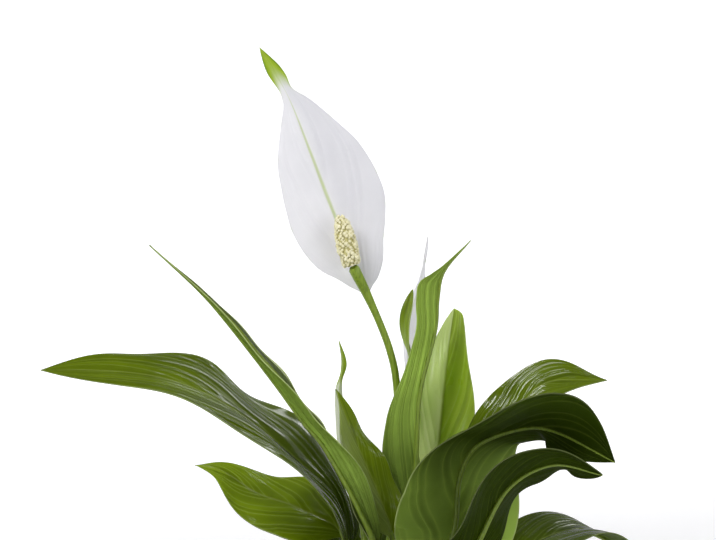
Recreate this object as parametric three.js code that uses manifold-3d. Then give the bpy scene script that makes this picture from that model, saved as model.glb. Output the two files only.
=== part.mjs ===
// A peace lily in a plain clay pot: a clump of long-stalked leaves and three blooms, each a white spathe
// behind a cream spadix on a stalk of its own, standing in a filled pot.
// Millimetres, +Z up, origin at the centre of the pot's foot, and the open bloom faces -Y.
import * as THREE from "three";
import { mergeVertices } from "three/addons/utils/BufferGeometryUtils.js";
import Module from "manifold-3d";

const wasm = await Module();
wasm.setup();

// ---- Driving sizes -------------------------------------------------------------------------------
const GAP = 0.3; // between pieces that touch on the real plant

const POT_HEIGHT = 108;
const POT_RIM_RADIUS = 65;
const POT_FOOT_RADIUS = 44;
const POT_WALL = 6;
const POT_FLOOR = 8;
const RIM_BAND_HEIGHT = 24;
const RIM_BAND_STEP = 3.5;
const DRAIN_RADIUS = 9;
const POT_SIDES = 44;

const SOIL_TOP = 96;
const SOIL_RELIEF = 0.9;
const SOIL_RINGS = 7;
const HOLE_DEPTH = 12;
const HOLE_CLEARANCE = 0.45;
const HOLE_SIDES = 10;
const UPRIGHT = 12; // how far a stalk stands straight up out of the soil

const STALK_RADIUS = 2.6; // of a leaf's stalk at the soil
const STALK_RADIUS_AT_BLADE = 1.6;
const STALK_RINGS = 5; // above the straight foot
const BLADE_RINGS = 18;
const LOW_BLADE_RINGS = 12;
const BLADE_THICKNESS = 0.7;
const RIB_DEPTH = 1.6; // of the rib below the blade at its base, in stalk radii
const BLADE_JOIN = 0.07; // share of the blade over which the round stalk flattens out
const BLADE_SAG = 0.12; // how far a half blade curls down, in half widths

const BLOOM_STALK_RADIUS = 2.3;
const BLOOM_STALK_RADIUS_AT_TOP = 1.75;
const BLOOM_STALK_SIDES = 8;
const BLOOM_STALK_RINGS = 16;
const SPATHE_RINGS = 20;
const SPATHE_BASE = 1; // the radius at which a spathe leaves its stalk

// ---- Shared shapes -------------------------------------------------------------------------------
const vector = ([x, y, z]) => new THREE.Vector3(x, y, z);
const mix = THREE.MathUtils.lerp;
const smooth = (low, high, x) => THREE.MathUtils.smoothstep(x, low, high);

// A curve through points, and the share of its length at which each of them lies.
function ribThrough(points) {
  const curve = new THREE.CatmullRomCurve3(points.map(vector), false, "catmullrom", 0.5);
  const spans = points.length - 1;
  curve.arcLengthDivisions = 40 * spans;
  const lengths = curve.getLengths();
  return { curve, shareAt: (index) => lengths[40 * index] / lengths[40 * spans] };
}

// The direction that a blade's upper side faces: it turns evenly through three given directions.
function facing(faces, share) {
  const [base, middle, tip] = faces.map((face) => vector(face).normalize());
  return base
    .multiplyScalar((1 - share) * (1 - 2 * share))
    .addScaledVector(middle, 4 * share * (1 - share))
    .addScaledVector(tip, share * (2 * share - 1));
}

// A place on a rib, with the directions across and up from it.
function frameAt(curve, u, face) {
  const forward = curve.getTangentAt(u);
  const up = face.clone().addScaledVector(forward, -face.dot(forward)).normalize();
  return { at: curve.getPointAt(u), across: forward.clone().cross(up), up };
}

const placed = ({ at, across, up }, sideways, upwards) =>
  at.clone().addScaledVector(across, sideways).addScaledVector(up, upwards);

// A closed skin over rings of points. Each ring runs over the upper side from left to right and back
// below, so each panel of the upper side lies over one of the lower side, and both are split alike.
function skinOver(rings, tip) {
  const around = rings[0].length;
  const points = rings.flat();
  const faces = [];
  const above = (i, j) => i * around + j;
  const below = (i, j) => i * around + ((around - j) % around);
  for (let i = 0; i < rings.length - 1; i++) {
    for (let j = 0; j < around / 2; j++) {
      faces.push(above(i, j), above(i, j + 1), above(i + 1, j + 1));
      faces.push(above(i, j), above(i + 1, j + 1), above(i + 1, j));
      faces.push(below(i, j), below(i + 1, j + 1), below(i, j + 1));
      faces.push(below(i, j), below(i + 1, j), below(i + 1, j + 1));
    }
  }
  const root = points.push(centreOf(rings[0])) - 1;
  const end = points.push(tip) - 1;
  const last = (rings.length - 1) * around;
  for (let k = 0; k < around; k++) {
    const next = (k + 1) % around;
    faces.push(root, next, k, end, last + k, last + next);
  }
  return indexed(points, faces);
}

const centreOf = (ring) =>
  ring.reduce((sum, point) => sum.add(point), new THREE.Vector3()).divideScalar(ring.length);

function indexed(points, faces) {
  const geometry = new THREE.BufferGeometry().setFromPoints(points);
  geometry.setIndex(faces);
  geometry.computeVertexNormals();
  return geometry;
}

// The straight foot of every stalk, from the bottom of its hole to a little above the soil.
const stalkRoot = ([x, y]) => [
  [x, y, SOIL_TOP - HOLE_DEPTH + GAP],
  [x, y, SOIL_TOP + 2],
  [x, y, SOIL_TOP + UPRIGHT],
];

// Where a stalk's rings lie: at both ends of its straight foot, then evenly up to the given share.
function stalkStations({ shareAt }, end, count) {
  return [0, shareAt(1), ...Array.from({ length: count }, (_, i) => mix(shareAt(2), end, i / count))];
}

// ---- Blades, of leaves and of spathes ------------------------------------------------------------
// Where the columns of a blade lie between its left margin, -1, its rib, 0, and its right margin, 1.
const FINE_COLUMNS = [-1, -0.62, -0.12, 0, 0.12, 0.62, 1];
const PLAIN_COLUMNS = [-1, -0.5, 0, 0.5, 1];

// Waves along a blade's two margins: their height, their number, and where in a wave the blade starts.
const evenWaves = (height, count) => ({ left: [height, count, 0.3], right: [height, count, 0] });
const NO_WAVES = evenWaves(0, 0);

// Where a blade's middle sheet lies beside and above its rib, at column v and at share s of its length.
function sheetAt(blade, half, v, s) {
  const fold = THREE.MathUtils.degToRad(blade.fold);
  const out = Math.abs(v) * half;
  const sag = (blade.sag ?? BLADE_SAG) * half * v * v;
  const waves = blade.waves ?? NO_WAVES;
  const [height, count, start] = v < 0 ? waves.left : waves.right;
  const ripple = height * v * v * Math.sin(2 * Math.PI * (count * s + start)) * ((2 * half) / blade.width);
  return {
    sideways: Math.sign(v) * (out * Math.cos(fold) + sag * Math.sin(fold)),
    upwards: out * Math.sin(fold) - sag * Math.cos(fold) + ripple,
  };
}

// One ring: round where the blade leaves its stalk, then thin and folded, with the rib raised below.
function bladeRing(frame, blade, { columns, radius, left, right, s, join }) {
  const panels = columns.length - 1;
  const ring = [];
  for (let k = 0; k < 2 * panels; k++) {
    const isAbove = k <= panels;
    const v = columns[isAbove ? k : 2 * panels - k];
    const sheet = sheetAt(blade, v < 0 ? left : right, v, s);
    const isMargin = Math.abs(v) === 1;
    const ribDepth = v === 0 && !isAbove ? radius * (blade.ribDepth ?? RIB_DEPTH) * (1 - s) : 0;
    const offset = isMargin ? 0 : (isAbove ? 0.5 : -0.5) * BLADE_THICKNESS;
    const turn = Math.PI * (1 - k / panels);
    const sideways = mix(radius * Math.cos(turn), sheet.sideways, join);
    const upwards = mix(radius * Math.sin(turn), sheet.upwards + offset - ribDepth, join);
    ring.push(placed(frame, sideways, upwards));
  }
  return ring;
}

// The plain outline of a leaf: its width along its length, as a share of the widest.
function leafOutline(s, { fullAt = 0.62, drawnOut = 1.15 }) {
  const shape = (x) => x ** fullAt * (1 - x) ** drawnOut;
  return shape(s) / shape(fullAt / (fullAt + drawnOut));
}

// Where a blade's rings lie along its rib, and how far it reaches to the left and right of the rib there.
// A blade with an outline of its own lists shares of its length, each with both reaches in half widths.
function bladeStations(blade, count) {
  const half = blade.width / 2;
  const steps = Array.from({ length: count }, (_, i) => i / count);
  if (blade.outline) {
    const outline = new THREE.CatmullRomCurve3(blade.outline.map(vector), false, "catmullrom", 0.5);
    return steps.map((step) => {
      const { x: s, y: left, z: right } = outline.getPoint(step);
      return { s, left: half * left, right: half * right };
    });
  }
  return steps.map((step) => {
    const s = step ** 1.1;
    const reach = half * leafOutline(s, blade);
    return { s, left: reach, right: reach * (blade.right ?? 1) };
  });
}

// The rings of a blade, whose base lies at the given share of the rib's length.
function bladeRings({ curve }, blade, { from, count, columns, radius, join }) {
  return bladeStations(blade, count).map(({ s, left, right }) => {
    const frame = frameAt(curve, mix(from, 1, s), facing(blade.faces, s));
    const reach = { left: Math.max(radius, left), right: Math.max(radius, right) };
    return bladeRing(frame, blade, { columns, radius, ...reach, s, join: smooth(...join, s) });
  });
}

// A whole leaf: its stalk rises from the soil, and its blade is the stalk's own end spread flat.
function leafGeometry(leaf) {
  const foot = [...stalkRoot(leaf.root), ...leaf.stalk];
  const rib = ribThrough([...foot, ...leaf.blade]);
  const bladeFrom = rib.shareAt(foot.length);
  const columns = leaf.low ? PLAIN_COLUMNS : FINE_COLUMNS;
  const stalkRings = stalkStations(rib, bladeFrom, STALK_RINGS).map((u) => {
    const radius = mix(STALK_RADIUS, STALK_RADIUS_AT_BLADE, u / bladeFrom);
    const frame = frameAt(rib.curve, u, facing(leaf.faces, 0));
    return bladeRing(frame, leaf, { columns, radius, left: radius, right: radius, s: 0, join: 0 });
  });
  const spread = bladeRings(rib, leaf, {
    from: bladeFrom,
    count: leaf.low ? LOW_BLADE_RINGS : BLADE_RINGS,
    columns,
    radius: STALK_RADIUS_AT_BLADE,
    join: [0, BLADE_JOIN],
  });
  return skinOver([...stalkRings, ...spread], rib.curve.getPointAt(1));
}

function spatheGeometry(spathe) {
  const rib = ribThrough(spathe.rib);
  const rings = bladeRings(rib, spathe, {
    from: 0,
    count: SPATHE_RINGS,
    columns: FINE_COLUMNS,
    radius: SPATHE_BASE,
    join: [-0.03, 0.05],
  });
  return skinOver(rings, rib.curve.getPointAt(1));
}

// ---- Pot and soil --------------------------------------------------------------------------------
const innerRadiusAt = (z) =>
  mix(POT_FOOT_RADIUS - POT_WALL, POT_RIM_RADIUS - POT_WALL, (z - POT_FLOOR) / (POT_HEIGHT - POT_FLOOR));

function potGeometry() {
  const bandBottom = POT_HEIGHT - RIM_BAND_HEIGHT;
  const wallTop = POT_RIM_RADIUS - RIM_BAND_STEP - 2;
  return standingLathe([
    [DRAIN_RADIUS, 0],
    [POT_FOOT_RADIUS - 1.5, 0],
    [POT_FOOT_RADIUS, 1.5],
    [wallTop, bandBottom - 1],
    [wallTop + RIM_BAND_STEP - 0.8, bandBottom],
    [wallTop + RIM_BAND_STEP, bandBottom + 1.2],
    [POT_RIM_RADIUS, POT_HEIGHT - 2],
    [POT_RIM_RADIUS - 1.8, POT_HEIGHT],
    [POT_RIM_RADIUS - POT_WALL + 1, POT_HEIGHT],
    [innerRadiusAt(POT_HEIGHT - 1.5), POT_HEIGHT - 1.5],
    [innerRadiusAt(POT_FLOOR), POT_FLOOR],
    [DRAIN_RADIUS, POT_FLOOR],
    [DRAIN_RADIUS, 0],
  ]);
}

// A turned shape about Z. The lathe turns about Y, so it is tipped up.
function standingLathe(profile) {
  const points = profile.map(([radius, height]) => new THREE.Vector2(radius, height));
  return new THREE.LatheGeometry(points, POT_SIDES).rotateX(Math.PI / 2);
}

function soilHeight(x, y) {
  const lumps = Math.sin(0.31 * x + 1.1) * Math.cos(0.27 * y) + 0.6 * Math.sin(0.43 * y - 0.2 * x);
  return SOIL_TOP + SOIL_RELIEF * lumps;
}

// The soil fills the pot, its top is a little uneven, and every stalk stands in a plain hole in it.
function soilGeometry(roots) {
  const top = innerRadiusAt(SOIL_TOP) - GAP;
  const bottom = innerRadiusAt(POT_FLOOR) - GAP;
  const inwards = Array.from({ length: SOIL_RINGS }, (_, i) => [top * (1 - (i + 1) / SOIL_RINGS), SOIL_TOP]);
  const profile = [[0, POT_FLOOR + GAP], [bottom, POT_FLOOR + GAP], [top - 0.4, SOIL_TOP - 1.5], ...inwards];
  const geometry = standingLathe(profile);
  const places = geometry.getAttribute("position");
  for (let i = 0; i < places.count; i++) {
    if (places.getZ(i) > SOIL_TOP - 0.1) places.setZ(i, soilHeight(places.getX(i), places.getY(i)));
  }
  const radius = STALK_RADIUS + HOLE_CLEARANCE;
  const holes = roots.map(([x, y]) => {
    const hole = new THREE.CylinderGeometry(radius, radius, 2 * HOLE_DEPTH, HOLE_SIDES);
    return solidOf(hole.rotateX(Math.PI / 2).translate(x, y, SOIL_TOP));
  });
  return geometryOf(solidOf(geometry).subtract(wasm.Manifold.union(holes)));
}

function solidOf(geometry) {
  const bare = new THREE.BufferGeometry().setAttribute("position", geometry.getAttribute("position"));
  bare.setIndex(geometry.getIndex());
  const merged = mergeVertices(bare, 1e-3);
  const mesh = new wasm.Mesh({
    numProp: 3,
    vertProperties: merged.getAttribute("position").array,
    triVerts: new Uint32Array(merged.getIndex().array),
  });
  return new wasm.Manifold(mesh);
}

function geometryOf(solid) {
  const mesh = solid.getMesh();
  const geometry = new THREE.BufferGeometry();
  geometry.setAttribute("position", new THREE.BufferAttribute(mesh.vertProperties, 3));
  geometry.setIndex(new THREE.BufferAttribute(mesh.triVerts, 1));
  geometry.computeVertexNormals();
  return geometry;
}

// ---- Leaves --------------------------------------------------------------------------------------
// A leaf's rib runs from its root through the points of its stalk and then of its blade. Faces are the
// directions that the blade's upper side faces at its base, middle and tip; fold is how far, in degrees,
// each half rises from the rib; right is the right half's width beside the left one's.
const HIGH_LEAVES = [
  {
    name: "leaf_left_high", root: [-12, -16],
    width: 26, fold: 35, fullAt: 0.9, drawnOut: 1.8, ribDepth: 0.8, waves: evenWaves(0.8, 3),
    stalk: [[-10, -21, 160]],
    blade: [
      [-6, -24, 200], [-13.5, -31, 224], [-29.5, -38, 254], [-41.5, -41, 269], [-55.5, -43, 288],
      [-78.5, -45, 317], [-92, -46, 332], [-115, -46, 353],
    ],
    faces: [[0.1, 0.95, 0.1], [0.79, -0.06, 0.61], [0.67, -0.06, 0.74]],
  },
  {
    name: "leaf_left_broad", root: [-16, -4],
    width: 60, fold: 13.6, fullAt: 0.4, drawnOut: 0.96, right: 1.13,
    waves: { left: [1.6, 2.6, 0.43], right: [3.3, 3.2, 0.27] },
    stalk: [[-16, -6, 160]],
    blade: [
      [-18.8, -8, 198], [-26, -10, 226], [-44, -16, 246], [-73.5, -28, 271], [-101, -37, 286],
      [-130, -43, 292], [-167, -47, 293],
    ],
    faces: [[0.97, -0.16, 0.19], [0.6, -0.24, 0.77], [0, -0.72, 0.69]],
  },
  {
    name: "leaf_left_low", root: [-15, 8],
    width: 45, fold: 5.4, fullAt: 0.59, drawnOut: 1.29,
    waves: { left: [2.6, 1.35, 0.07], right: [2.1, 1.35, -0.14] },
    stalk: [[-18, 12, 160]],
    blade: [[-22, 14, 204], [-45, 20, 218.7], [-66.5, 28, 225.4], [-85.3, 36, 236], [-100.3, 40, 239]],
    faces: [[0.37, -0.86, 0.36], [0.01, -0.55, 0.83], [-0.09, -0.83, 0.54]],
  },
  {
    name: "leaf_centre_small", root: [-3, -20],
    width: 34, fold: 5.3, fullAt: 0.68, drawnOut: 0.9,
    waves: { left: [1.8, 1.9, 0.33], right: [1.6, 2.6, 0.97] },
    stalk: [[1, -18, 160]],
    blade: [[2, -16, 207], [-2.4, -16, 224], [-12, -16, 246.6], [-21.6, -15.5, 269.7], [-26, -15.5, 282]],
    faces: [[0.43, -0.9, 0.05], [0.8, -0.52, 0.31], [0.84, -0.42, 0.34]],
  },
  {
    name: "leaf_centre_tall", root: [6, -6],
    width: 38, fold: 49, waves: evenWaves(0.8, 2.5),
    outline: [
      [0, 0.08, 0.08], [0.08, 0.59, 0.21], [0.18, 0.84, 0.45], [0.3, 0.96, 0.87], [0.42, 0.97, 0.78],
      [0.54, 0.89, 0.51], [0.66, 0.74, 0.51], [0.78, 0.52, 0.59], [0.9, 0.25, 0.07], [1, 0, 0],
    ],
    stalk: [[6, -3, 155]],
    blade: [
      [9.5, 0, 194], [13.3, 3, 241], [15.4, 6, 277], [23.7, 8, 310], [25.2, 8, 326], [28.6, 8, 340.5],
      [42, 8, 356],
    ],
    faces: [[0, 1, -0.07], [-0.77, 0.63, 0.08], [-0.63, 0.63, 0.46]],
  },
  {
    name: "leaf_centre_back", root: [13, 12],
    width: 29, fold: 14, fullAt: 0.52, drawnOut: 0.53, right: 1.22,
    waves: { left: [1.9, 1.6, 0.2], right: [3, 1.9, -0.31] },
    stalk: [[17, 18, 155]],
    blade: [[21, 24, 198], [25, 28, 232], [28.7, 31, 268], [32.3, 35, 299], [35.3, 38, 321]],
    faces: [[0.27, -0.96, 0.09], [-0.33, -0.94, 0.1], [-0.63, -0.76, 0.19]],
  },
  {
    name: "leaf_right_front", root: [14, -14],
    width: 70, fold: 4, waves: evenWaves(1.2, 2.5),
    outline: [
      [0, 0.05, 0.05], [0.08, 0.7, 0.69], [0.18, 0.92, 0.9], [0.3, 1, 1], [0.42, 1, 1], [0.54, 0.91, 0.98],
      [0.66, 0.75, 1.05], [0.78, 0.53, 0.98], [0.9, 0.27, 0.5], [1, 0, 0],
    ],
    stalk: [[19, -23, 150]],
    blade: [
      [21, -30, 190], [31, -36, 215], [33, -44, 241], [41, -55, 258], [61, -68, 267], [77, -74, 266],
      [104, -80, 252],
    ],
    faces: [[0.2, 0.97, 0.15], [-0.47, 0.39, 0.79], [0.39, 0.84, 0.38]],
  },
  {
    name: "leaf_right_back", root: [15, 1],
    width: 44, fold: 12, drawnOut: 1, waves: evenWaves(1, 2.5),
    stalk: [[18, 1, 155], [28, -2, 205]],
    blade: [[40.5, -4, 241], [49.8, -6, 256.7], [62, -9, 267.4], [78, -15, 284.7], [107.6, -21, 286.7]],
    faces: [[-0.86, -0.4, 0.32], [-0.64, -0.49, 0.59], [-0.2, -0.35, 0.91]],
  },
  {
    name: "leaf_right_low", root: [7, -24],
    width: 47.5, fold: 8.7, fullAt: 0.64, drawnOut: 0.84, right: 1.07,
    waves: { left: [2.6, 2.45, 0.32], right: [2.7, 1.85, -0.05] },
    stalk: [[18, -36, 145]],
    blade: [[29, -48, 188], [40, -56, 210], [54, -72, 239], [74, -88, 252], [96, -98, 248]],
    faces: [[-0.51, 0.75, 0.42], [-0.6, 0.44, 0.67], [0.42, 0.6, 0.68]],
  },
  {
    name: "leaf_back_high", root: [5, 26],
    width: 38, fold: 14, waves: evenWaves(1, 2), low: true,
    stalk: [[14, 39, 160]],
    blade: [[23, 45, 196], [31, 57, 230], [35, 80, 252], [36, 112, 256], [36, 145, 240]],
    faces: [[0, -0.8, 0.5], [0, -0.2, 1], [0, 0.3, 1]],
  },
  {
    name: "leaf_behind_tip", root: [1, 15],
    width: 20, fold: 8, drawnOut: 0.9, waves: evenWaves(0.4, 2),
    stalk: [[1, 34, 175]],
    blade: [[6, 39, 221], [10, 43, 257], [14, 43, 284], [10, 41, 304], [9.5, 40, 316], [13.5, 39, 331]],
    faces: [[-0.96, -0.27, 0.11], [-0.98, 0.14, -0.09], [-0.65, -0.73, 0.21]],
  },
];

// The outer leaves arch out from the clump all round: each is given by the direction it leaves in, how
// far it reaches, how high it rises, how far its tip droops, and its width.
const LOW_LEAVES = [
  { name: "leaf_low_right", heading: -6, reach: 168, top: 178, droop: 34, width: 50 },
  { name: "leaf_low_right_back", heading: 26, reach: 168, top: 204, droop: 40, width: 54 },
  { name: "leaf_low_back_right", heading: 65, reach: 160, top: 200, droop: 44, width: 54 },
  { name: "leaf_low_back", heading: 100, reach: 156, top: 214, droop: 40, width: 50 },
  { name: "leaf_low_back_left", heading: 136, reach: 160, top: 190, droop: 36, width: 52 },
  { name: "leaf_low_left", heading: 174, reach: 168, top: 176, droop: 36, width: 50 },
  { name: "leaf_low_left_front", heading: 214, reach: 152, top: 182, droop: 42, width: 52 },
  { name: "leaf_low_front", heading: 258, reach: 157, top: 172, droop: 40, width: 48 },
  { name: "leaf_low_right_front", heading: 308, reach: 150, top: 166, droop: 36, width: 46 },
];
const LOW_ROOT_RING = 31;

function lowLeaf({ name, heading, reach, top, droop, width }) {
  const angle = THREE.MathUtils.degToRad(heading);
  const [cos, sin] = [Math.cos(angle), Math.sin(angle)];
  const point = (out, z) => [cos * out, sin * out, z];
  const rise = top - SOIL_TOP;
  return {
    name,
    width,
    low: true,
    fold: 14,
    waves: evenWaves(1.6, 2),
    root: [cos * LOW_ROOT_RING, sin * LOW_ROOT_RING],
    stalk: [point(0.23 * reach, SOIL_TOP + 0.35 * rise)],
    blade: [
      point(0.3 * reach, SOIL_TOP + 0.62 * rise),
      point(0.47 * reach, SOIL_TOP + 0.91 * rise),
      point(0.67 * reach, top),
      point(0.85 * reach, top - 0.35 * droop),
      point(reach, top - droop),
    ],
    faces: [[-cos, -sin, 0.7], [0.1 * sin, -0.1 * cos, 1], [cos, sin, 0.8]],
  };
}

// ---- Blooms --------------------------------------------------------------------------------------
function bloomStalkGeometry({ root, through }) {
  const rib = ribThrough([...stalkRoot(root), ...through]);
  const rings = [...stalkStations(rib, 1, BLOOM_STALK_RINGS), 1].map((u) => {
    const frame = frameAt(rib.curve, u, new THREE.Vector3(0, -1, 0));
    const radius = mix(BLOOM_STALK_RADIUS, BLOOM_STALK_RADIUS_AT_TOP, u);
    return Array.from({ length: BLOOM_STALK_SIDES }, (_, k) => {
      const turn = Math.PI * (1 - (2 * k) / BLOOM_STALK_SIDES);
      return placed(frame, radius * Math.cos(turn), radius * Math.sin(turn));
    });
  });
  return skinOver(rings, rib.curve.getPointAt(1));
}

// A spadix: a blunt spike set all over with small pointed florets, raised by a rule.
function spadixGeometry({ from, to, radius, rows, around }) {
  const axis = vector(to).sub(vector(from));
  const length = axis.length();
  const turned = new THREE.Quaternion().setFromUnitVectors(vector([0, 0, 1]), axis.normalize());
  const points = [];
  const faces = [];
  for (let i = 0; i <= rows; i++) {
    const s = i / rows;
    const swell = Math.sin(Math.PI * mix(0.17, 0.9, s)) ** 0.45;
    for (let k = 0; k < around; k++) {
      const isFloret = (i + k) % 2 === 0;
      const reach = radius * swell * (isFloret ? 1 : 0.82);
      const angle = (2 * Math.PI * k) / around;
      points.push(vector([reach * Math.cos(angle), reach * Math.sin(angle), 0.97 * s * length]));
    }
  }
  const bottom = points.push(vector([0, 0, 0])) - 1;
  const top = points.push(vector([0, 0, length])) - 1;
  for (let k = 0; k < around; k++) {
    const next = (k + 1) % around;
    faces.push(bottom, next, k, top, rows * around + k, rows * around + next);
    for (let i = 0; i < rows; i++) {
      const [a, b] = [i * around + k, i * around + next];
      const [c, d] = [b + around, a + around];
      faces.push(...((i + k) % 2 === 0 ? [a, b, d, b, c, d] : [a, b, c, a, c, d]));
    }
  }
  points.forEach((point) => point.applyQuaternion(turned).add(vector(from)));
  return indexed(points, faces);
}

const OPEN_OUTLINE = [
  [0, 0.1, 0.1], [0.1, 0.47, 0.47], [0.2, 0.74, 0.73], [0.31, 0.84, 0.98], [0.4, 0.8, 1], [0.49, 0.73, 0.97],
  [0.575, 0.63, 0.84], [0.7, 0.33, 0.5], [0.8, 0.12, 0.22], [0.88, 0.14, 0.14], [0.95, 0.09, 0.08], [1, 0, 0],
];
const FURLED_OUTLINE = [
  [0, 0.1, 0.1], [0.1, 0.4, 0.4], [0.24, 0.9, 0.9], [0.4, 1, 1], [0.56, 0.75, 0.75], [0.66, 0.4, 0.4],
  [0.74, 0.2, 0.2], [0.82, 0.36, 0.42], [0.9, 0.3, 0.3], [1, 0, 0],
];

const BLOOMS = [
  {
    name: "open_bloom",
    root: [-1, 5],
    through: [
      [0, 7, 160], [3, 9, 204], [5.4, 12, 234], [5.9, 13, 260], [4.4, 14, 285], [1.5, 12.5, 299],
      [-3.1, 10, 312], [-10.2, 6, 328], [-17, 0, 342.2],
    ],
    spathe: {
      width: 54, fold: 10, sag: 0.2, ribDepth: 1, outline: OPEN_OUTLINE,
      rib: [
        [-10.6, 8.5, 328.9], [-15, 10.2, 342], [-21.1, 10.5, 354.7], [-30.4, 9.5, 377.3], [-39.3, 6.5, 399.7],
        [-52.6, 2, 429.7], [-63.3, 0, 451],
      ],
      faces: [[0.1, -1, 0.1], [0.12, -1, 0.05], [0.1, -1, 0]],
    },
    spadix: { from: [-17.4, 0, 343.3], to: [-23, 0, 370], radius: 5.8, rows: 18, around: 18 },
  },
  {
    name: "back_bloom",
    root: [-5, 17],
    through: [[-3, 38, 170], [5, 50, 215], [13, 58, 255], [16.8, 60, 278], [17.4, 60, 287]],
    spathe: {
      width: 36, fold: 16, sag: 0.2, ribDepth: 1, outline: OPEN_OUTLINE,
      rib: [
        [14.1, 60, 277], [12.2, 60, 287], [11.8, 60, 297], [12.2, 60, 306], [13.2, 60, 315], [15.4, 60, 325],
        [18.6, 60, 334.6], [20.4, 60, 346.3], [22.3, 60, 359],
      ],
      faces: [[0.97, 0.2, 0], [0.97, 0.2, 0], [0.97, 0.2, 0]],
    },
    spadix: { from: [17.5, 60, 287.6], to: [18.8, 60, 308], radius: 4, rows: 14, around: 14 },
  },
  {
    name: "young_bloom",
    root: [-7, -4],
    through: [[-8, 2, 165], [-11, 13, 200], [-15, 21, 222], [-19, 24.4, 234], [-20.6, 25, 240.2]],
    spathe: {
      width: 15, fold: 60, sag: 0.1, ribDepth: 1, outline: FURLED_OUTLINE,
      rib: [
        [-19.2, 21, 231], [-21.6, 20, 240], [-23.3, 20, 254], [-24, 20, 267], [-24.5, 20, 277],
        [-24.2, 20, 283], [-22.9, 20, 290], [-22.9, 20, 296], [-24.8, 20, 305],
      ],
      faces: [[0.3, 1, 0], [0.3, 1, 0], [0.3, 1, 0]],
    },
    spadix: { from: [-20.7, 25.1, 240.9], to: [-21.6, 25.5, 262], radius: 1.9, rows: 12, around: 10 },
  },
];

// ---- The whole plant -----------------------------------------------------------------------------
const paint = (color, roughness) => new THREE.MeshStandardMaterial({ color, roughness, metalness: 0 });
const CLAY = paint(0xb5694a, 0.85);
const PEAT = paint(0x3b2a20, 1);
const LEAF_GREEN = paint(0x3f7a24, 0.35);
const STALK_GREEN = paint(0x6f9a35, 0.45);
const PETAL_WHITE = paint(0xf1f1f6, 0.5);
const FLORET_CREAM = paint(0xe6dfa0, 0.6);

const plant = new THREE.Group();

function add(name, geometry, material) {
  const mesh = new THREE.Mesh(geometry, material);
  mesh.name = name;
  plant.add(mesh);
}

const leaves = [...HIGH_LEAVES, ...LOW_LEAVES.map(lowLeaf)];
add("pot", potGeometry(), CLAY);
add("soil", soilGeometry([...leaves, ...BLOOMS].map(({ root }) => root)), PEAT);
for (const leaf of leaves) add(leaf.name, leafGeometry(leaf), LEAF_GREEN);
for (const bloom of BLOOMS) {
  add(`${bloom.name}_stalk`, bloomStalkGeometry(bloom), STALK_GREEN);
  add(`${bloom.name}_spathe`, spatheGeometry(bloom.spathe), PETAL_WHITE);
  add(`${bloom.name}_spadix`, spadixGeometry(bloom.spadix), FLORET_CREAM);
}

export default plant;
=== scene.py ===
# %% [markdown]
# # A peace lily in a clay pot
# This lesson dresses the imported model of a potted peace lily. The plant is a clump of long-stalked
# leaves and three blooms. Each bloom is a white spathe, which is a leaf in disguise, behind a cream
# spadix that carries the real flowers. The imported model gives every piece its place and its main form.
# Here each of its nodes is stood in for by finer pieces: ribbed blades, round stalks, knobbly spadices,
# a turned pot and crumbly soil, all with materials made from nodes.

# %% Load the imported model
import bpy
import math
import numpy as np
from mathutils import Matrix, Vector


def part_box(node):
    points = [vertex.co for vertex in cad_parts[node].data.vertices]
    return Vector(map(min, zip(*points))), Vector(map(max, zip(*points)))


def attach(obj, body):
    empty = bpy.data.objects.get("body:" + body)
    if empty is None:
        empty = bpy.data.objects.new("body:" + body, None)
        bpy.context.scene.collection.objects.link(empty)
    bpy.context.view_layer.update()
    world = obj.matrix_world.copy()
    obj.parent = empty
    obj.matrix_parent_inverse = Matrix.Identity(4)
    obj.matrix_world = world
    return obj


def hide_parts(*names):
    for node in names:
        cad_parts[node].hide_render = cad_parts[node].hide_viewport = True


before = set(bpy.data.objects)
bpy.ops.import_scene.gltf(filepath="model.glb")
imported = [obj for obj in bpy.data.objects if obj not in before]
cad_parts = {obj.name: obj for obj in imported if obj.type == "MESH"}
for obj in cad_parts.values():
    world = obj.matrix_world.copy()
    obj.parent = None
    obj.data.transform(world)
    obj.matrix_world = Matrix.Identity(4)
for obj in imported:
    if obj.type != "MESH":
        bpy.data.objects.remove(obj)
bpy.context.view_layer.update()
MM = 0.001

# %% [markdown]
# ## The camera
# The photograph was taken from far enough off that the plant hardly narrows with distance, and the
# stalks show no tilt. So the camera looks level along +Y through a long lens, from one metre away, at
# the height of the upper leaves. The pot stays below the picture, as it does in the photograph.

# %% Camera
CAMERA_PLACE = (-0.015, -1.0, 0.341)
LENS = 100
SENSOR_WIDTH = 36

bpy.ops.object.camera_add(location=CAMERA_PLACE, rotation=(math.radians(90), 0, 0))
camera = bpy.context.object
camera.name = "camera"
camera.data.lens = LENS
camera.data.sensor_width = SENSOR_WIDTH
bpy.context.scene.camera = camera
print("camera at", CAMERA_PLACE, "lens", LENS)

# %% [markdown]
# ## The stage
# A plant is photographed on a sheet of pale paper that curves up behind it, so no line parts floor from
# wall. The sheet is a plane whose back edge is extruded upwards, and a wide bevel rounds the fold.

# %% Stage helpers
def alone(piece):
    """Only this piece is selected and active, so an operator acts on nothing else."""
    bpy.ops.object.select_all(action="DESELECT")
    piece.select_set(True)
    bpy.context.view_layer.objects.active = piece


def new_piece(name, add_primitive, **settings):
    """Adds a primitive with nothing else selected, and names it."""
    bpy.ops.object.select_all(action="DESELECT")
    add_primitive(**settings)
    piece = bpy.context.object
    piece.name = name
    return piece


def finish_modifier(piece, kind, **settings):
    """Adds a modifier with its settings, and applies it."""
    alone(piece)
    bpy.ops.object.modifier_add(type=kind)
    modifier = piece.modifiers[-1]
    for name, value in settings.items():
        setattr(modifier, name, value)
    bpy.ops.object.modifier_apply(modifier=modifier.name)


print("helpers:", alone.__name__, new_piece.__name__, finish_modifier.__name__)

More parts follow.
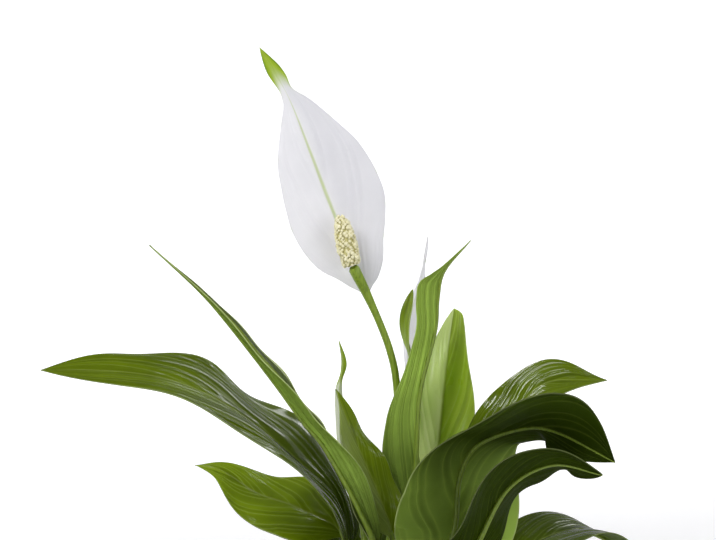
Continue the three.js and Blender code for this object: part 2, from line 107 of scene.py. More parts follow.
# %% Paper sweep
PAPER_SIZE = 9
PAPER_HEIGHT = 5
PAPER_CURVE = 2
PAPER_CURVE_STEPS = 24

paper = new_piece("paper", bpy.ops.mesh.primitive_plane_add, size=PAPER_SIZE)
bpy.ops.object.mode_set(mode="EDIT")
bpy.ops.mesh.select_all(action="DESELECT")
bpy.ops.object.mode_set(mode="OBJECT")
for edge in paper.data.edges:
    edge.select = all(paper.data.vertices[i].co.y > 0 for i in edge.vertices)
bpy.ops.object.mode_set(mode="EDIT")
bpy.ops.mesh.select_mode(type="EDGE")
bpy.ops.mesh.extrude_region_move(TRANSFORM_OT_translate={"value": (0, 0, PAPER_HEIGHT)})
bpy.ops.object.mode_set(mode="OBJECT")
finish_modifier(paper, "BEVEL", width=PAPER_CURVE, segments=PAPER_CURVE_STEPS, limit_method="ANGLE")
bpy.ops.object.shade_smooth()
print("paper faces:", len(paper.data.polygons))

# %% [markdown]
# ## The light
# In the photograph the paper behind the plant is the brightest thing. It shines through thin blades and
# draws white streaks on glossy ones, while lower sides that face the camera stay dark. So two lamps light
# the paper alone. Narrow strip lamps stand behind the plant on both sides, and a wider one to its right,
# because a narrow lamp draws a streak where a large one lays a grey haze. The two lamps in front are
# large and soft. All of them are hidden from the camera, which may look at the plant from any side.

# %% Lamps
PLANT_MIDDLE = (0, 0, 0.3)
FULL_SPREAD = 180
PAPER_LAMP = {"size": (0.7, 0.7), "power": 10, "spread": 125}
LAMPS = {
    "key_lamp": {"place": (-1.3, -1.3, 1.7), "aim": PLANT_MIDDLE, "size": (1.2, 1.2), "power": 41},
    "fill_lamp": {"place": (1.5, -1.3, 0.9), "aim": PLANT_MIDDLE, "size": (1.5, 1.5), "power": 17},
    "strip_lamp_left": {"place": (-1.3, 1.15, 1.5), "aim": PLANT_MIDDLE, "size": (0.2, 1.4), "power": 25},
    "strip_lamp_right": {"place": (0.8, 1.3, 1.7), "aim": PLANT_MIDDLE, "size": (0.16, 1.8), "power": 6},
    "strip_lamp_side": {"place": (1.7, 0.5, 1.6), "aim": PLANT_MIDDLE, "size": (0.7, 1.2), "power": 10},
    "paper_lamp_left": {"place": (-1.6, 2.4, 1.1), "aim": (0.3, 3.9, 0.5), **PAPER_LAMP},
    "paper_lamp_right": {"place": (1.6, 2.4, 1.1), "aim": (-0.3, 3.9, 0.5), **PAPER_LAMP},
}

for name, lamp in LAMPS.items():
    towards = Vector(lamp["aim"]) - Vector(lamp["place"])
    turn = towards.to_track_quat("-Z", "Y").to_euler()
    bpy.ops.object.light_add(type="AREA", location=lamp["place"], rotation=turn)
    light = bpy.context.object
    light.name = name
    light.data.shape = "RECTANGLE"
    light.data.size, light.data.size_y = lamp["size"]
    light.data.energy = lamp["power"]
    light.data.spread = math.radians(lamp.get("spread", FULL_SPREAD))
    light.visible_camera = False
print("lamps:", list(LAMPS))

# %% [markdown]
# ## The room
# Around the lamps is a white room. Its own light on the plant is weak, so that the dark lower sides stay
# dark. The camera sees it brighter than that, because the photograph's ground is plain white to its
# edges. A Light Path node tells the camera's rays from the others.

# %% Room
ROOM_COLOR = (0.98, 0.985, 1, 1)
ROOM_LIGHT = 0.14
ROOM_SEEN = 0.68

world = bpy.data.worlds.new("white_room")
world.use_nodes = True
room = world.node_tree
seen = room.nodes.new("ShaderNodeLightPath")
level = room.nodes.new("ShaderNodeMapRange")
level.inputs["To Min"].default_value = ROOM_LIGHT
level.inputs["To Max"].default_value = ROOM_SEEN
room.links.new(seen.outputs["Is Camera Ray"], level.inputs["Value"])
room.links.new(level.outputs["Result"], room.nodes["Background"].inputs["Strength"])
room.nodes["Background"].inputs["Color"].default_value = ROOM_COLOR
bpy.context.scene.world = world
bpy.context.scene.view_settings.view_transform = "Standard"
print("room light:", ROOM_LIGHT, "and to the camera:", ROOM_SEEN)

# %% [markdown]
# ## Writing materials as nodes
# A material is a small network of nodes. A few helpers keep it readable: one adds a node and wires its
# inputs, others do a sum, make a smooth step or mix two colours by a share. The last two make a shader
# with relief, and mix it with the light that comes through a thin piece.

# %% Node helpers
def feed(tree, socket, value):
    """Wires a socket into another, or gives it a plain value."""
    if isinstance(value, bpy.types.NodeSocket):
        tree.links.new(value, socket)
    else:
        socket.default_value = value


def add_node(tree, kind, inputs=None, **settings):
    """Adds a node with its own settings, and feeds its inputs by name."""
    node = tree.nodes.new(kind)
    for name, value in settings.items():
        setattr(node, name, value)
    for name, value in (inputs or {}).items():
        feed(tree, node.inputs[name], value)
    return node


def sum_of(tree, operation, *values):
    """The result of one Math node."""
    node = add_node(tree, "ShaderNodeMath", operation=operation)
    for socket, value in zip(node.inputs, values):
        feed(tree, socket, value)
    return node.outputs["Value"]


def times(tree, first, second):
    return sum_of(tree, "MULTIPLY", first, second)


def times_plus(tree, value, share, start):
    """A share of the value, on top of the start."""
    return sum_of(tree, "MULTIPLY_ADD", value, share, start)


def between(tree, low, high, value):
    """A smooth step: 0 up to low, 1 from high on."""
    steps = {"Value": value, "From Min": low, "From Max": high}
    return add_node(tree, "ShaderNodeMapRange", steps, interpolation_type="SMOOTHSTEP").outputs["Result"]


def mixed(tree, share, first, second):
    """The first colour where the share is 0 and the second where it is 1."""
    node = add_node(tree, "ShaderNodeMix", data_type="RGBA")
    sockets = {socket.identifier: socket for socket in node.inputs}
    feed(tree, sockets["Factor_Float"], share)
    feed(tree, sockets["A_Color"], first)
    feed(tree, sockets["B_Color"], second)
    return next(out for out in node.outputs if out.identifier == "Result_Color")


print("helpers:", ", ".join(helper.__name__ for helper in (feed, add_node, sum_of, between, mixed)))

# %% Shader helpers
def new_material(name):
    """An empty material, its node tree and its output node."""
    material = bpy.data.materials.new(name)
    material.use_nodes = True
    tree = material.node_tree
    tree.nodes.clear()
    return material, tree, tree.nodes.new("ShaderNodeOutputMaterial")


def relief_shader(tree, tone, roughness, height, relief):
    """A Principled shader whose relief, a strength and a depth in metres, follows the height."""
    strength, depth = relief
    bump = add_node(tree, "ShaderNodeBump", {"Strength": strength, "Distance": depth, "Height": height})
    surface = {"Base Color": tone, "Roughness": roughness, "Normal": bump.outputs["Normal"]}
    return add_node(tree, "ShaderNodeBsdfPrincipled", surface)


def thin_shader(tree, solid, glow, share):
    """The solid shader, mixed with the light that comes through a thin piece in the glow's colour."""
    through = add_node(tree, "ShaderNodeBsdfTranslucent", {"Color": glow})
    both = add_node(tree, "ShaderNodeMixShader", {"Fac": share})
    feed(tree, both.inputs[1], solid.outputs["BSDF"])
    feed(tree, both.inputs[2], through.outputs["BSDF"])
    return both.outputs["Shader"]


print("shaders:", relief_shader.__name__, thin_shader.__name__)

# %% [markdown]
# ## What the materials share
# A peace lily's veins leave the midrib at a sharp angle and arch towards the tip, and the blade swells
# a little between them. Blades and spathes use this pattern, so it is a node group. It reads the
# blade's own UV map: U runs across the blade, with the rib at 0.5, and V runs from its base to its tip.
# A second group gives mottled noise at two sizes, for every surface.

# %% Node group: veins
FINE_VEINS = 5
FINE_VEIN_HEIGHT = 0.03
VEIN_WIDTH = 0.42
FAINTEST_VEIN = 0.4
MIDRIB_FADES_FROM = 0.3
MARGIN_EDGES = (0.972, 0.99)


def vein_group():
    group = bpy.data.node_groups.new("veins", "ShaderNodeTree")
    panel = group.interface
    panel.new_socket("Vein count", in_out="INPUT", socket_type="NodeSocketFloat")
    panel.new_socket("Surface", in_out="INPUT", socket_type="NodeSocketVector")
    panel.new_socket("Rib reach", in_out="INPUT", socket_type="NodeSocketFloat")
    for name in ("Vein", "Swell", "Band", "Midrib", "Margin"):
        panel.new_socket(name, in_out="OUTPUT", socket_type="NodeSocketFloat")
    start = group.nodes.new("NodeGroupInput").outputs
    end = group.nodes.new("NodeGroupOutput").inputs
    count = start["Vein count"]
    swell = sum_of(group, "ABSOLUTE", sum_of(group, "SINE", times(group, count, math.pi)))
    fine = sum_of(group, "SINE", times(group, count, 2 * math.pi * FINE_VEINS))
    number = sum_of(group, "FLOOR", count)
    rib = add_node(group, "ShaderNodeTexWhiteNoise", {"W": number}, noise_dimensions="1D").outputs["Value"]
    vein = sum_of(group, "SUBTRACT", 1.0, between(group, 0.0, VEIN_WIDTH, swell))
    strength = times_plus(group, rib, 1 - FAINTEST_VEIN, FAINTEST_VEIN)
    feed(group, end["Vein"], times(group, vein, strength))
    feed(group, end["Swell"], times_plus(group, fine, FINE_VEIN_HEIGHT, swell))
    feed(group, end["Band"], times(group, swell, rib))
    u = add_node(group, "ShaderNodeSeparateXYZ", {"Vector": start["Surface"]}).outputs["X"]
    across = sum_of(group, "ABSOLUTE", times_plus(group, u, 2.0, -1.0))
    off_rib = sum_of(group, "DIVIDE", across, start["Rib reach"])
    fading = between(group, MIDRIB_FADES_FROM, 1.0, off_rib)
    feed(group, end["Midrib"], sum_of(group, "SUBTRACT", 1.0, fading))
    feed(group, end["Margin"], between(group, *MARGIN_EDGES, across))
    return group


VEINS = vein_group()
print("group:", VEINS.name)

# %% Node group: mottle
MOTTLE_EDGES = (0.3, 0.7)


def mottle_group():
    group = bpy.data.node_groups.new("mottle", "ShaderNodeTree")
    panel = group.interface
    panel.new_socket("Place", in_out="INPUT", socket_type="NodeSocketVector")
    panel.new_socket("Patches per metre", in_out="INPUT", socket_type="NodeSocketFloat")
    panel.new_socket("Specks per metre", in_out="INPUT", socket_type="NodeSocketFloat")
    for name in ("Patches", "Specks"):
        panel.new_socket(name, in_out="OUTPUT", socket_type="NodeSocketFloat")
    start = group.nodes.new("NodeGroupInput").outputs
    end = group.nodes.new("NodeGroupOutput").inputs
    for name, rate, detail in (("Patches", "Patches per metre", 3), ("Specks", "Specks per metre", 2)):
        settings = {"Vector": start["Place"], "Scale": start[rate], "Detail": detail}
        noise = add_node(group, "ShaderNodeTexNoise", settings)
        feed(group, end[name], between(group, *MOTTLE_EDGES, noise.outputs["Fac"]))
    return group


MOTTLE = mottle_group()
print("group:", MOTTLE.name)

# %% Reading a surface
MIDRIB_REACH = 0.055


def attribute_of(tree, name):
    return add_node(tree, "ShaderNodeAttribute", attribute_name=name).outputs["Fac"]


def place_on(tree):
    """The place on the object, in metres."""
    return add_node(tree, "ShaderNodeTexCoord").outputs["Object"]


def blade_lines(tree):
    """The vein group's outputs, for a blade that carries its vein count and its UV map."""
    surface = add_node(tree, "ShaderNodeUVMap").outputs["UV"]
    inputs = {"Vein count": attribute_of(tree, "vein_count"), "Surface": surface, "Rib reach": MIDRIB_REACH}
    return add_node(tree, "ShaderNodeGroup", inputs, node_tree=VEINS).outputs


def mottle_on(tree, patches, specks):
    """The mottle group's outputs, with so many patches and so many specks per metre."""
    inputs = {"Place": place_on(tree), "Patches per metre": patches, "Specks per metre": specks}
    return add_node(tree, "ShaderNodeGroup", inputs, node_tree=MOTTLE).outputs


print("the midrib's reach, as a share of the blade's half width:", MIDRIB_REACH)

# %% [markdown]
# ## Leaf materials
# The upper side of a leaf is deep green and glossy, the lower side paler, greyer and matt. Light that
# comes through a thin blade is bright yellow-green, so each material mixes the Principled shader with a
# Translucent one. Young leaves are yellower than old ones: an attribute named youth says how young each
# place on a leaf is, and another where it is still whitish, where it unrolls. That second attribute also
# paints a highlight, a pale streak along one leaf's margin where its gloss shines, and youth is lowered
# over the outer part of that half, which paints shade. So one pair of materials serves every leaf. Its
# veins, midrib and margin are drawn over the green as paler lines, which an old leaf shows less; the pale
# margin line is partly a painted highlight, the bright edge that light draws along a blade.

# %% Leaf materials
MIDRIB_GREEN = (0.36, 0.44, 0.09, 1)
# The pale margin line is partly a painted highlight, the bright edge that light draws along a blade.
MARGIN_GREEN_AND_GLEAM = (0.55, 0.6, 0.3, 1)
VEIN_GREEN = (0.52, 0.64, 0.12, 1)
# Whitish green for unrolling halves and pale veins, and for the painted highlight streak along one margin.
PALE_AND_GLEAM_GREEN = (0.8, 0.9, 0.42, 1)
SHADE_GREEN = (0.015, 0.028, 0.0005, 1)
GLOW_OLD = (0.05, 0.08, 0.001, 1)
GLOW_YOUNG = (0.66, 0.84, 0.02, 1)
GLOW_SHARE = 0.3
LEAF_PATCHES = 45.0
LEAF_SPECKS = 900.0
LEAF_SPECK_HEIGHT = 0.06
PATCH_SHADE = 0.2
BAND_SHADE = 0.5
MIDRIB_SHARE = 0.8
MARGIN_SHARE = 0.75
OLD_LEAF_LINES = 0.2
YOUNG_DULLNESS = 0.22
PATCH_DULLNESS = 0.06
RELIEF_DEPTH = 0.0005


def blade_material(name, old, young, vein, vein_share, roughness, specular, ribbing):
    """One side of a leaf: old and young are its greens, vein is its side veins' tone."""
    material, tree, output = new_material(name)
    lines = blade_lines(tree)
    cloud = mottle_on(tree, LEAF_PATCHES, LEAF_SPECKS)
    youth = attribute_of(tree, "youth")
    shade = times_plus(tree, cloud["Patches"], PATCH_SHADE, times(tree, lines["Band"], BAND_SHADE))
    green = mixed(tree, shade, mixed(tree, youth, old, young), SHADE_GREEN)
    green = mixed(tree, attribute_of(tree, "pale_and_gleam"), green, PALE_AND_GLEAM_GREEN)
    lit = times_plus(tree, youth, 1 - OLD_LEAF_LINES, OLD_LEAF_LINES)
    for line, share, tone in (
        ("Vein", vein_share, vein),
        ("Midrib", MIDRIB_SHARE, MIDRIB_GREEN),
        # The margin line: partly a painted highlight along the edge.
        ("Margin", MARGIN_SHARE, MARGIN_GREEN_AND_GLEAM),
    ):
        drawn = times(tree, times(tree, lines[line], share), lit)
        green = mixed(tree, drawn, green, tone)
    height = times_plus(tree, cloud["Specks"], LEAF_SPECK_HEIGHT, lines["Swell"])
    dull = times_plus(tree, youth, YOUNG_DULLNESS, roughness)
    dull = times_plus(tree, cloud["Patches"], PATCH_DULLNESS, dull)
    solid = relief_shader(tree, green, dull, height, (ribbing, RELIEF_DEPTH))
    solid.inputs["Specular IOR Level"].default_value = specular
    glow = mixed(tree, youth, GLOW_OLD, GLOW_YOUNG)
    feed(tree, output.inputs["Surface"], thin_shader(tree, solid, glow, GLOW_SHARE))
    return material


LEAF_UPPER = blade_material(
    "leaf_upper_side", old=(0.04, 0.07, 0.001, 1), young=(0.42, 0.58, 0.012, 1),
    vein=PALE_AND_GLEAM_GREEN, vein_share=0.24, roughness=0.05, specular=0.35, ribbing=0.14,
)
LEAF_UNDER = blade_material(
    "leaf_lower_side", old=(0.032, 0.058, 0.0005, 1), young=(0.68, 1, 0.18, 1),
    vein=VEIN_GREEN, vein_share=0.5, roughness=0.45, specular=0.05, ribbing=0.9,
)
print("materials:", LEAF_UPPER.name, LEAF_UNDER.name)

# %% [markdown]
# ## Stalk material
# A stalk is smooth and a little shiny, with fine lines that run along it. It is pale where it leaves
# the soil and green above. Noise that is stretched along Z draws the lines, because stalks stand up.

# %% Stalk material
STALK_PALE = (0.4, 0.45, 0.16, 1)
STALK_SHADE = (0.02, 0.05, 0.005, 1)
STALK_SHADE_SHARE = 0.55
STALK_GREENS_OVER = (0.09, 0.15)
STALK_LINES = 1300.0
STALK_LINE_STRETCH = (1, 1, 0.05)
STALK_LINE_DETAIL = 2.0
STALK_LINE_EDGES = (0.4, 0.75)
STALK_LINE_SHARE = 0.75
STALK_ROUGHNESS = 0.32
STALK_LINE_DULLNESS = 0.15
STALK_RELIEF = (0.25, 0.0003)


def stalk_material(name, green):
    material, tree, output = new_material(name)
    place = place_on(tree)
    stretched = add_node(tree, "ShaderNodeMapping", {"Vector": place, "Scale": STALK_LINE_STRETCH})
    drawn_out = {"Vector": stretched.outputs["Vector"], "Scale": STALK_LINES, "Detail": STALK_LINE_DETAIL}
    lines = add_node(tree, "ShaderNodeTexNoise", drawn_out).outputs["Fac"]
    height = add_node(tree, "ShaderNodeSeparateXYZ", {"Vector": place}).outputs["Z"]
    tone = mixed(tree, between(tree, *STALK_GREENS_OVER, height), STALK_PALE, green)
    dark = mixed(tree, STALK_SHADE_SHARE, tone, STALK_SHADE)
    drawn = times(tree, between(tree, *STALK_LINE_EDGES, lines), STALK_LINE_SHARE)
    dull = times_plus(tree, lines, STALK_LINE_DULLNESS, STALK_ROUGHNESS)
    solid = relief_shader(tree, mixed(tree, drawn, tone, dark), dull, lines, STALK_RELIEF)
    feed(tree, output.inputs["Surface"], solid.outputs["BSDF"])
    return material


LEAF_STALK = stalk_material("leaf_stalk_green", green=(0.18, 0.26, 0.02, 1))
BLOOM_STALK = stalk_material("bloom_stalk_green", green=(0.23, 0.335, 0.02, 1))
print("materials:", LEAF_STALK.name, BLOOM_STALK.name)

# %% [markdown]
# ## Spathe material
# A spathe is a white leaf. It lets much light through, has faint grey veins and a thin yellow-green
# midrib, and turns green towards its drawn-out tip, most of all along its veins and margins. An
# attribute named greenness says where, and another greys the half that is turned from the light, a
# painted shade.

# %% Spathe material
SPATHE_LIGHT = (0.955, 0.945, 0.965, 1)
# Grey of the faint veins, and also the painted shade on the half turned from the light.
SPATHE_GREY_AND_SHADE = (0.77, 0.765, 0.8, 1)
SPATHE_GREEN = (0.42, 0.54, 0.02, 1)
SPATHE_GREEN_LINES = (0.14, 0.24, 0.01, 1)
SPATHE_RIB = (0.5, 0.61, 0.17, 1)
SPATHE_RIB_SHARE = 0.85
SPATHE_GLOW = (0.88, 0.88, 0.9, 1)
SPATHE_TIP_GLOW = (0.5, 0.66, 0.06, 1)
SPATHE_GLOW_SHARE = 0.45
SPATHE_PATCHES = 50.0
SPATHE_SPECKS = 700.0
SPATHE_SPECK_HEIGHT = 0.08
SPATHE_ROUGHNESS = 0.45
SPATHE_RELIEF = (0.3, RELIEF_DEPTH)
GREY_PATCHES = 0.3
GREY_BANDS = 0.35
# How far the half turned from the light is greyed: painted shade.
PAINTED_SHADE_HALF_SHARE = 0.6
GREY_LINES = {"Vein": 0.3, "Margin": 0.7}
EARLY_GREEN = {"Vein": 0.5, "Margin": 0.4}
GREENS_OVER = (0.35, 1.1)
GLOW_GREENS_OVER = (0.35, 1.0)
DARKENS_OVER = (1.0, 1.6)
DARK_VEINS = 0.6


def spathe_material():
    material, tree, output = new_material("spathe_white")
    lines = blade_lines(tree)
    cloud = mottle_on(tree, SPATHE_PATCHES, SPATHE_SPECKS)
    greenness = attribute_of(tree, "greenness")
    grey_and_shade = times_plus(tree, cloud["Patches"], GREY_PATCHES, times(tree, lines["Band"], GREY_BANDS))
    # Painted shade: the half of the spathe turned from the light is greyed.
    grey_and_shade = times_plus(tree, attribute_of(tree, "painted_shade_half"), PAINTED_SHADE_HALF_SHARE, grey_and_shade)
    white = mixed(tree, grey_and_shade, SPATHE_LIGHT, SPATHE_GREY_AND_SHADE)
    greener = greenness
    for line in ("Vein", "Margin"):
        white = mixed(tree, times(tree, lines[line], GREY_LINES[line]), white, SPATHE_GREY_AND_SHADE)
        greener = times_plus(tree, lines[line], EARLY_GREEN[line], greener)
    darker = times_plus(tree, lines["Vein"], DARK_VEINS, between(tree, *DARKENS_OVER, greenness))
    green = mixed(tree, darker, SPATHE_GREEN, SPATHE_GREEN_LINES)
    tone = mixed(tree, between(tree, *GREENS_OVER, greener), white, green)
    tone = mixed(tree, times(tree, lines["Midrib"], SPATHE_RIB_SHARE), tone, SPATHE_RIB)
    height = times_plus(tree, cloud["Specks"], SPATHE_SPECK_HEIGHT, lines["Band"])
    solid = relief_shader(tree, tone, SPATHE_ROUGHNESS, height, SPATHE_RELIEF)
    glow = mixed(tree, between(tree, *GLOW_GREENS_OVER, greenness), SPATHE_GLOW, SPATHE_TIP_GLOW)
    feed(tree, output.inputs["Surface"], thin_shader(tree, solid, glow, SPATHE_GLOW_SHARE))
    return material


SPATHE_WHITE = spathe_material()
print("material:", SPATHE_WHITE.name)

# %% [markdown]
# ## Spadix material
# The florets are cream knobs, darker and greener in the gaps between them, with a pale stigma on top.
# The gaps' colour is partly the florets' own green and partly painted shade, where shadow lies between
# the knobs. An attribute named crown rises from 0 at a floret's foot to 1 at its top, and the colour
# follows it.

# %% Spadix material
# Gap colour: the florets' own green, and painted shade between them.
FLORET_GAP_GREEN_AND_SHADE = (0.62, 0.58, 0.27, 1)
FLORET_CREAMS = ((0.76, 0.71, 0.42, 1), (0.87, 0.83, 0.58, 1))
STIGMA_PALE = (0.86, 0.82, 0.62, 1)
CREAM_OVER = (0.1, 0.55)
STIGMA_OVER = (0.75, 0.95)
FLORET_PATCHES = 260.0
FLORET_SPECKS = 2500.0
FLORET_ROUGHNESS = 0.6
FLORET_RELIEF = (0.3, 0.0002)


def spadix_material():
    material, tree, output = new_material("floret_cream")
    crown = attribute_of(tree, "crown")
    cloud = mottle_on(tree, FLORET_PATCHES, FLORET_SPECKS)
    cream = mixed(tree, cloud["Patches"], *FLORET_CREAMS)
    # Towards a floret's foot the cream turns to the gaps' green and painted shade.
    tone = mixed(tree, between(tree, *CREAM_OVER, crown), FLORET_GAP_GREEN_AND_SHADE, cream)
    tone = mixed(tree, between(tree, *STIGMA_OVER, crown), tone, STIGMA_PALE)
    solid = relief_shader(tree, tone, FLORET_ROUGHNESS, cloud["Specks"], FLORET_RELIEF)
    feed(tree, output.inputs["Surface"], solid.outputs["BSDF"])
    return material


FLORET_CREAM = spadix_material()
print("material:", FLORET_CREAM.name)

# %% [markdown]
# ## Clay and soil materials
# Fired clay is a matt orange-brown, mottled by the kiln, with a whitish bloom where lime has dried on
# it, fine pits, and the faint rings of the wheel. Peaty soil is nearly black, with browner crumbs.

# %% Clay material
CLAY_TONES = ((0.42, 0.13, 0.06, 1), (0.54, 0.2, 0.1, 1))
CLAY_PIT = (0.3, 0.09, 0.045, 1)
CLAY_PIT_SHARE = 0.25
CLAY_LIME = (0.66, 0.48, 0.38, 1)
CLAY_LIME_SHARE = 0.55
CLAY_MOTTLE = (38.0, 1400.0)
LIME_MOTTLE = (16.0, 420.0)
WHEEL_RINGS = {"Scale": 90.0, "Distortion": 1.5, "Detail": 2.0, "Detail Scale": 0.4}
WHEEL_RING_HEIGHT = 0.6
CLAY_PIT_DEPTH = 0.5
CLAY_ROUGHNESS = 0.78
CLAY_PATCH_DULLNESS = 0.12
CLAY_RELIEF = (0.35, 0.0005)


def clay_material():
    material, tree, output = new_material("fired_clay")
    cloud = mottle_on(tree, *CLAY_MOTTLE)
    lime = mottle_on(tree, *LIME_MOTTLE)
    ringed = {"Vector": place_on(tree), **WHEEL_RINGS}
    rings = add_node(tree, "ShaderNodeTexWave", ringed, bands_direction="Z").outputs["Fac"]
    tone = mixed(tree, cloud["Patches"], *CLAY_TONES)
    tone = mixed(tree, times(tree, cloud["Specks"], CLAY_PIT_SHARE), tone, CLAY_PIT)
    limed = times(tree, lime["Patches"], times(tree, lime["Specks"], CLAY_LIME_SHARE))
    tone = mixed(tree, limed, tone, CLAY_LIME)
    height = times_plus(tree, cloud["Specks"], CLAY_PIT_DEPTH, times(tree, rings, WHEEL_RING_HEIGHT))
    dull = times_plus(tree, cloud["Patches"], CLAY_PATCH_DULLNESS, CLAY_ROUGHNESS)
    solid = relief_shader(tree, tone, dull, height, CLAY_RELIEF)
    feed(tree, output.inputs["Surface"], solid.outputs["BSDF"])
    return material


FIRED_CLAY = clay_material()
print("material:", FIRED_CLAY.name)

# %% Soil materials
EARTH_SPECKS = 1500.0
EARTH_SPECK_SHARE = 0.4
EARTH_ROUGHNESS = 0.95
EARTH_RELIEF = (0.8, 0.001)


def earth_material(name, dark, brown, patches):
    material, tree, output = new_material(name)
    cloud = mottle_on(tree, patches, EARTH_SPECKS)
    tone = mixed(tree, cloud["Patches"], dark, brown)
    tone = mixed(tree, times(tree, cloud["Specks"], EARTH_SPECK_SHARE), tone, dark)
    solid = relief_shader(tree, tone, EARTH_ROUGHNESS, cloud["Specks"], EARTH_RELIEF)
    feed(tree, output.inputs["Surface"], solid.outputs["BSDF"])
    return material


PEAT = earth_material("peat", dark=(0.018, 0.011, 0.007, 1), brown=(0.06, 0.036, 0.02, 1), patches=300.0)
CRUMBS = earth_material(
    "peat_crumbs", dark=(0.03, 0.018, 0.01, 1), brown=(0.13, 0.075, 0.04, 1), patches=110.0
)
print("materials:", PEAT.name, CRUMBS.name)

# %% [markdown]
# ## Paper material
# The paper is nearly white, with the faintest mottle. In the photograph its far part is burnt out to
# plain white, while the light that it throws back on the plant is no more than paper gives. So a weak
# glow that grows with the distance from the plant is added, for rays from the camera alone.

# %% Paper material
PAPER_TONES = ((0.88, 0.88, 0.89, 1), (0.9, 0.9, 0.91, 1))
PAPER_MOTTLE = (3.0, 60.0)
PAPER_ROUGHNESS = 0.9
PAPER_GLOWS_OVER = (0.7, 2.6)
PAPER_GLOW = 0.55


def paper_material():
    material, tree, output = new_material("pale_paper")
    tone = mixed(tree, mottle_on(tree, *PAPER_MOTTLE)["Patches"], *PAPER_TONES)
    surface = {"Base Color": tone, "Roughness": PAPER_ROUGHNESS, "Emission Color": tone}
    solid = add_node(tree, "ShaderNodeBsdfPrincipled", surface)
    length = add_node(tree, "ShaderNodeVectorMath", {"Vector": place_on(tree)}, operation="LENGTH")
    seen = add_node(tree, "ShaderNodeLightPath").outputs["Is Camera Ray"]
    glow = times(tree, between(tree, *PAPER_GLOWS_OVER, length.outputs["Value"]), PAPER_GLOW)
    feed(tree, solid.inputs["Emission Strength"], times(tree, seen, glow))
    feed(tree, output.inputs["Surface"], solid.outputs["BSDF"])
    return material


paper.data.materials.append(paper_material())
print("material:", paper.data.materials[0].name)

# %% [markdown]
# ## The rib: a smooth line through a few points
# Every leaf and bloom hangs on a rib, a line that rises from the soil through a few chosen points. A
# Catmull-Rom curve passes through all of them, which makes the points easy to place. At any share of
# its length the rib has a place, a direction, and an up that says where the blade's upper side faces.

# %% Rib
SPAN_STEPS = 40
SOIL_TOP = 96
HOLE_DEPTH = 12
GAP = 0.3
FOOT_RISE = 2
UPRIGHT = 12


def smooth_step(low, high, x):
    """0 up to low, 1 from high on, and a smooth rise between them."""
    share = np.clip((x - low) / (high - low), 0, 1)
    return share * share * (3 - 2 * share)


def curve_through(points):
    """Many places along the smooth curve through the points, SPAN_STEPS for each span."""
    known = np.array(points, float)
    known = np.vstack([2 * known[0] - known[1], known, 2 * known[-1] - known[-2]])
    t = (np.arange(SPAN_STEPS) / SPAN_STEPS)[:, None]
    spans = []
    for a, b, c, d in zip(known, known[1:], known[2:], known[3:]):
        bend = (2 * a - 5 * b + 4 * c - d) * t**2 + (3 * b - a - 3 * c + d) * t**3
        spans.append(0.5 * (2 * b + (c - a) * t + bend))
    return np.vstack([*spans, known[-2:-1]])


def rib_through(points):
    """The rib's places, how far along it each of them is, and its direction there."""
    line = curve_through(points)
    steps = np.linalg.norm(np.diff(line, axis=0), axis=1)
    along = np.concatenate([[0], np.cumsum(steps)])
    forward = np.gradient(line, along, axis=0)
    forward /= np.linalg.norm(forward, axis=1)[:, None]
    return {"line": line, "share": along / along[-1], "forward": forward, "length": along[-1]}


def at_shares(rib, shares, values):
    """The values that belong to shares of the rib's length."""
    return np.stack([np.interp(shares, rib["share"], column) for column in values.T], axis=1)


def unit(vectors):
    return vectors / np.linalg.norm(vectors, axis=-1, keepdims=True)


def frames_on(rib, shares, faces, turns):
    """Place, across and up at shares of the rib; turns says how far up has turned through the faces."""
    base, middle, tip = unit(np.array(faces, float))
    s = turns[:, None]
    face = base * (1 - s) * (1 - 2 * s) + middle * 4 * s * (1 - s) + tip * s * (2 * s - 1)
    forward = unit(at_shares(rib, shares, rib["forward"]))
    up = unit(face - forward * np.sum(face * forward, axis=1)[:, None])
    return at_shares(rib, shares, rib["line"]), np.cross(forward, up), up


def stalk_root(x, y):
    """The straight foot of a stalk, from the bottom of its hole to a little above the soil."""
    heights = (SOIL_TOP - HOLE_DEPTH + GAP, SOIL_TOP + FOOT_RISE, SOIL_TOP + UPRIGHT)
    return [(x, y, z) for z in heights]


print("a stalk's straight foot, in mm:", stalk_root(0, 0))

# %% [markdown]
# ## A blade: a flat grid laid on the rib
# On the plant a blade is the stalk's own end, spread flat. It could be cut from a plane, but its fold,
# waves and ribbing change all the way along, so a formula lays the grid: each point of a grid primitive
# knows its column across and its row along, and moves to its place beside the rib. A Solidify modifier
# then gives the sheet its thickness, with another material on the lower side.

# %% Blade outline
PLAIN_FULL_AT = 0.62
PLAIN_DRAWN_OUT = 1.15
LEFT_WAVES_START = 0.3
NO_WAVES = {"left": (0, 0, 0), "right": (0, 0, 0)}


def even_waves(height, count):
    """Waves along both margins: their height, their count and where on a wave they start."""
    return {"left": (height, count, LEFT_WAVES_START), "right": (height, count, 0)}


def plain_outline(s, full_at, drawn_out):
    """A blade's reach at share s, 1 where it is widest; drawn_out makes its tip longer."""
    def shape(x):
        return x**full_at * (1 - x) ** drawn_out

    return shape(s) / shape(full_at / (full_at + drawn_out))


def reaches(blade, s):
    """How far the blade reaches to the left and right of its rib, in millimetres."""
    half = blade["width"] / 2
    if "outline" in blade:
        shares, left, right = curve_through(blade["outline"]).T
        return half * np.interp(s, shares, left), half * np.interp(s, shares, right)
    full_at, drawn_out = blade.get("full_at", PLAIN_FULL_AT), blade.get("drawn_out", PLAIN_DRAWN_OUT)
    reach = half * plain_outline(s, full_at, drawn_out)
    return reach, reach * blade.get("right", 1)


print("a plain blade is widest at:", round(PLAIN_FULL_AT / (PLAIN_FULL_AT + PLAIN_DRAWN_OUT), 2))

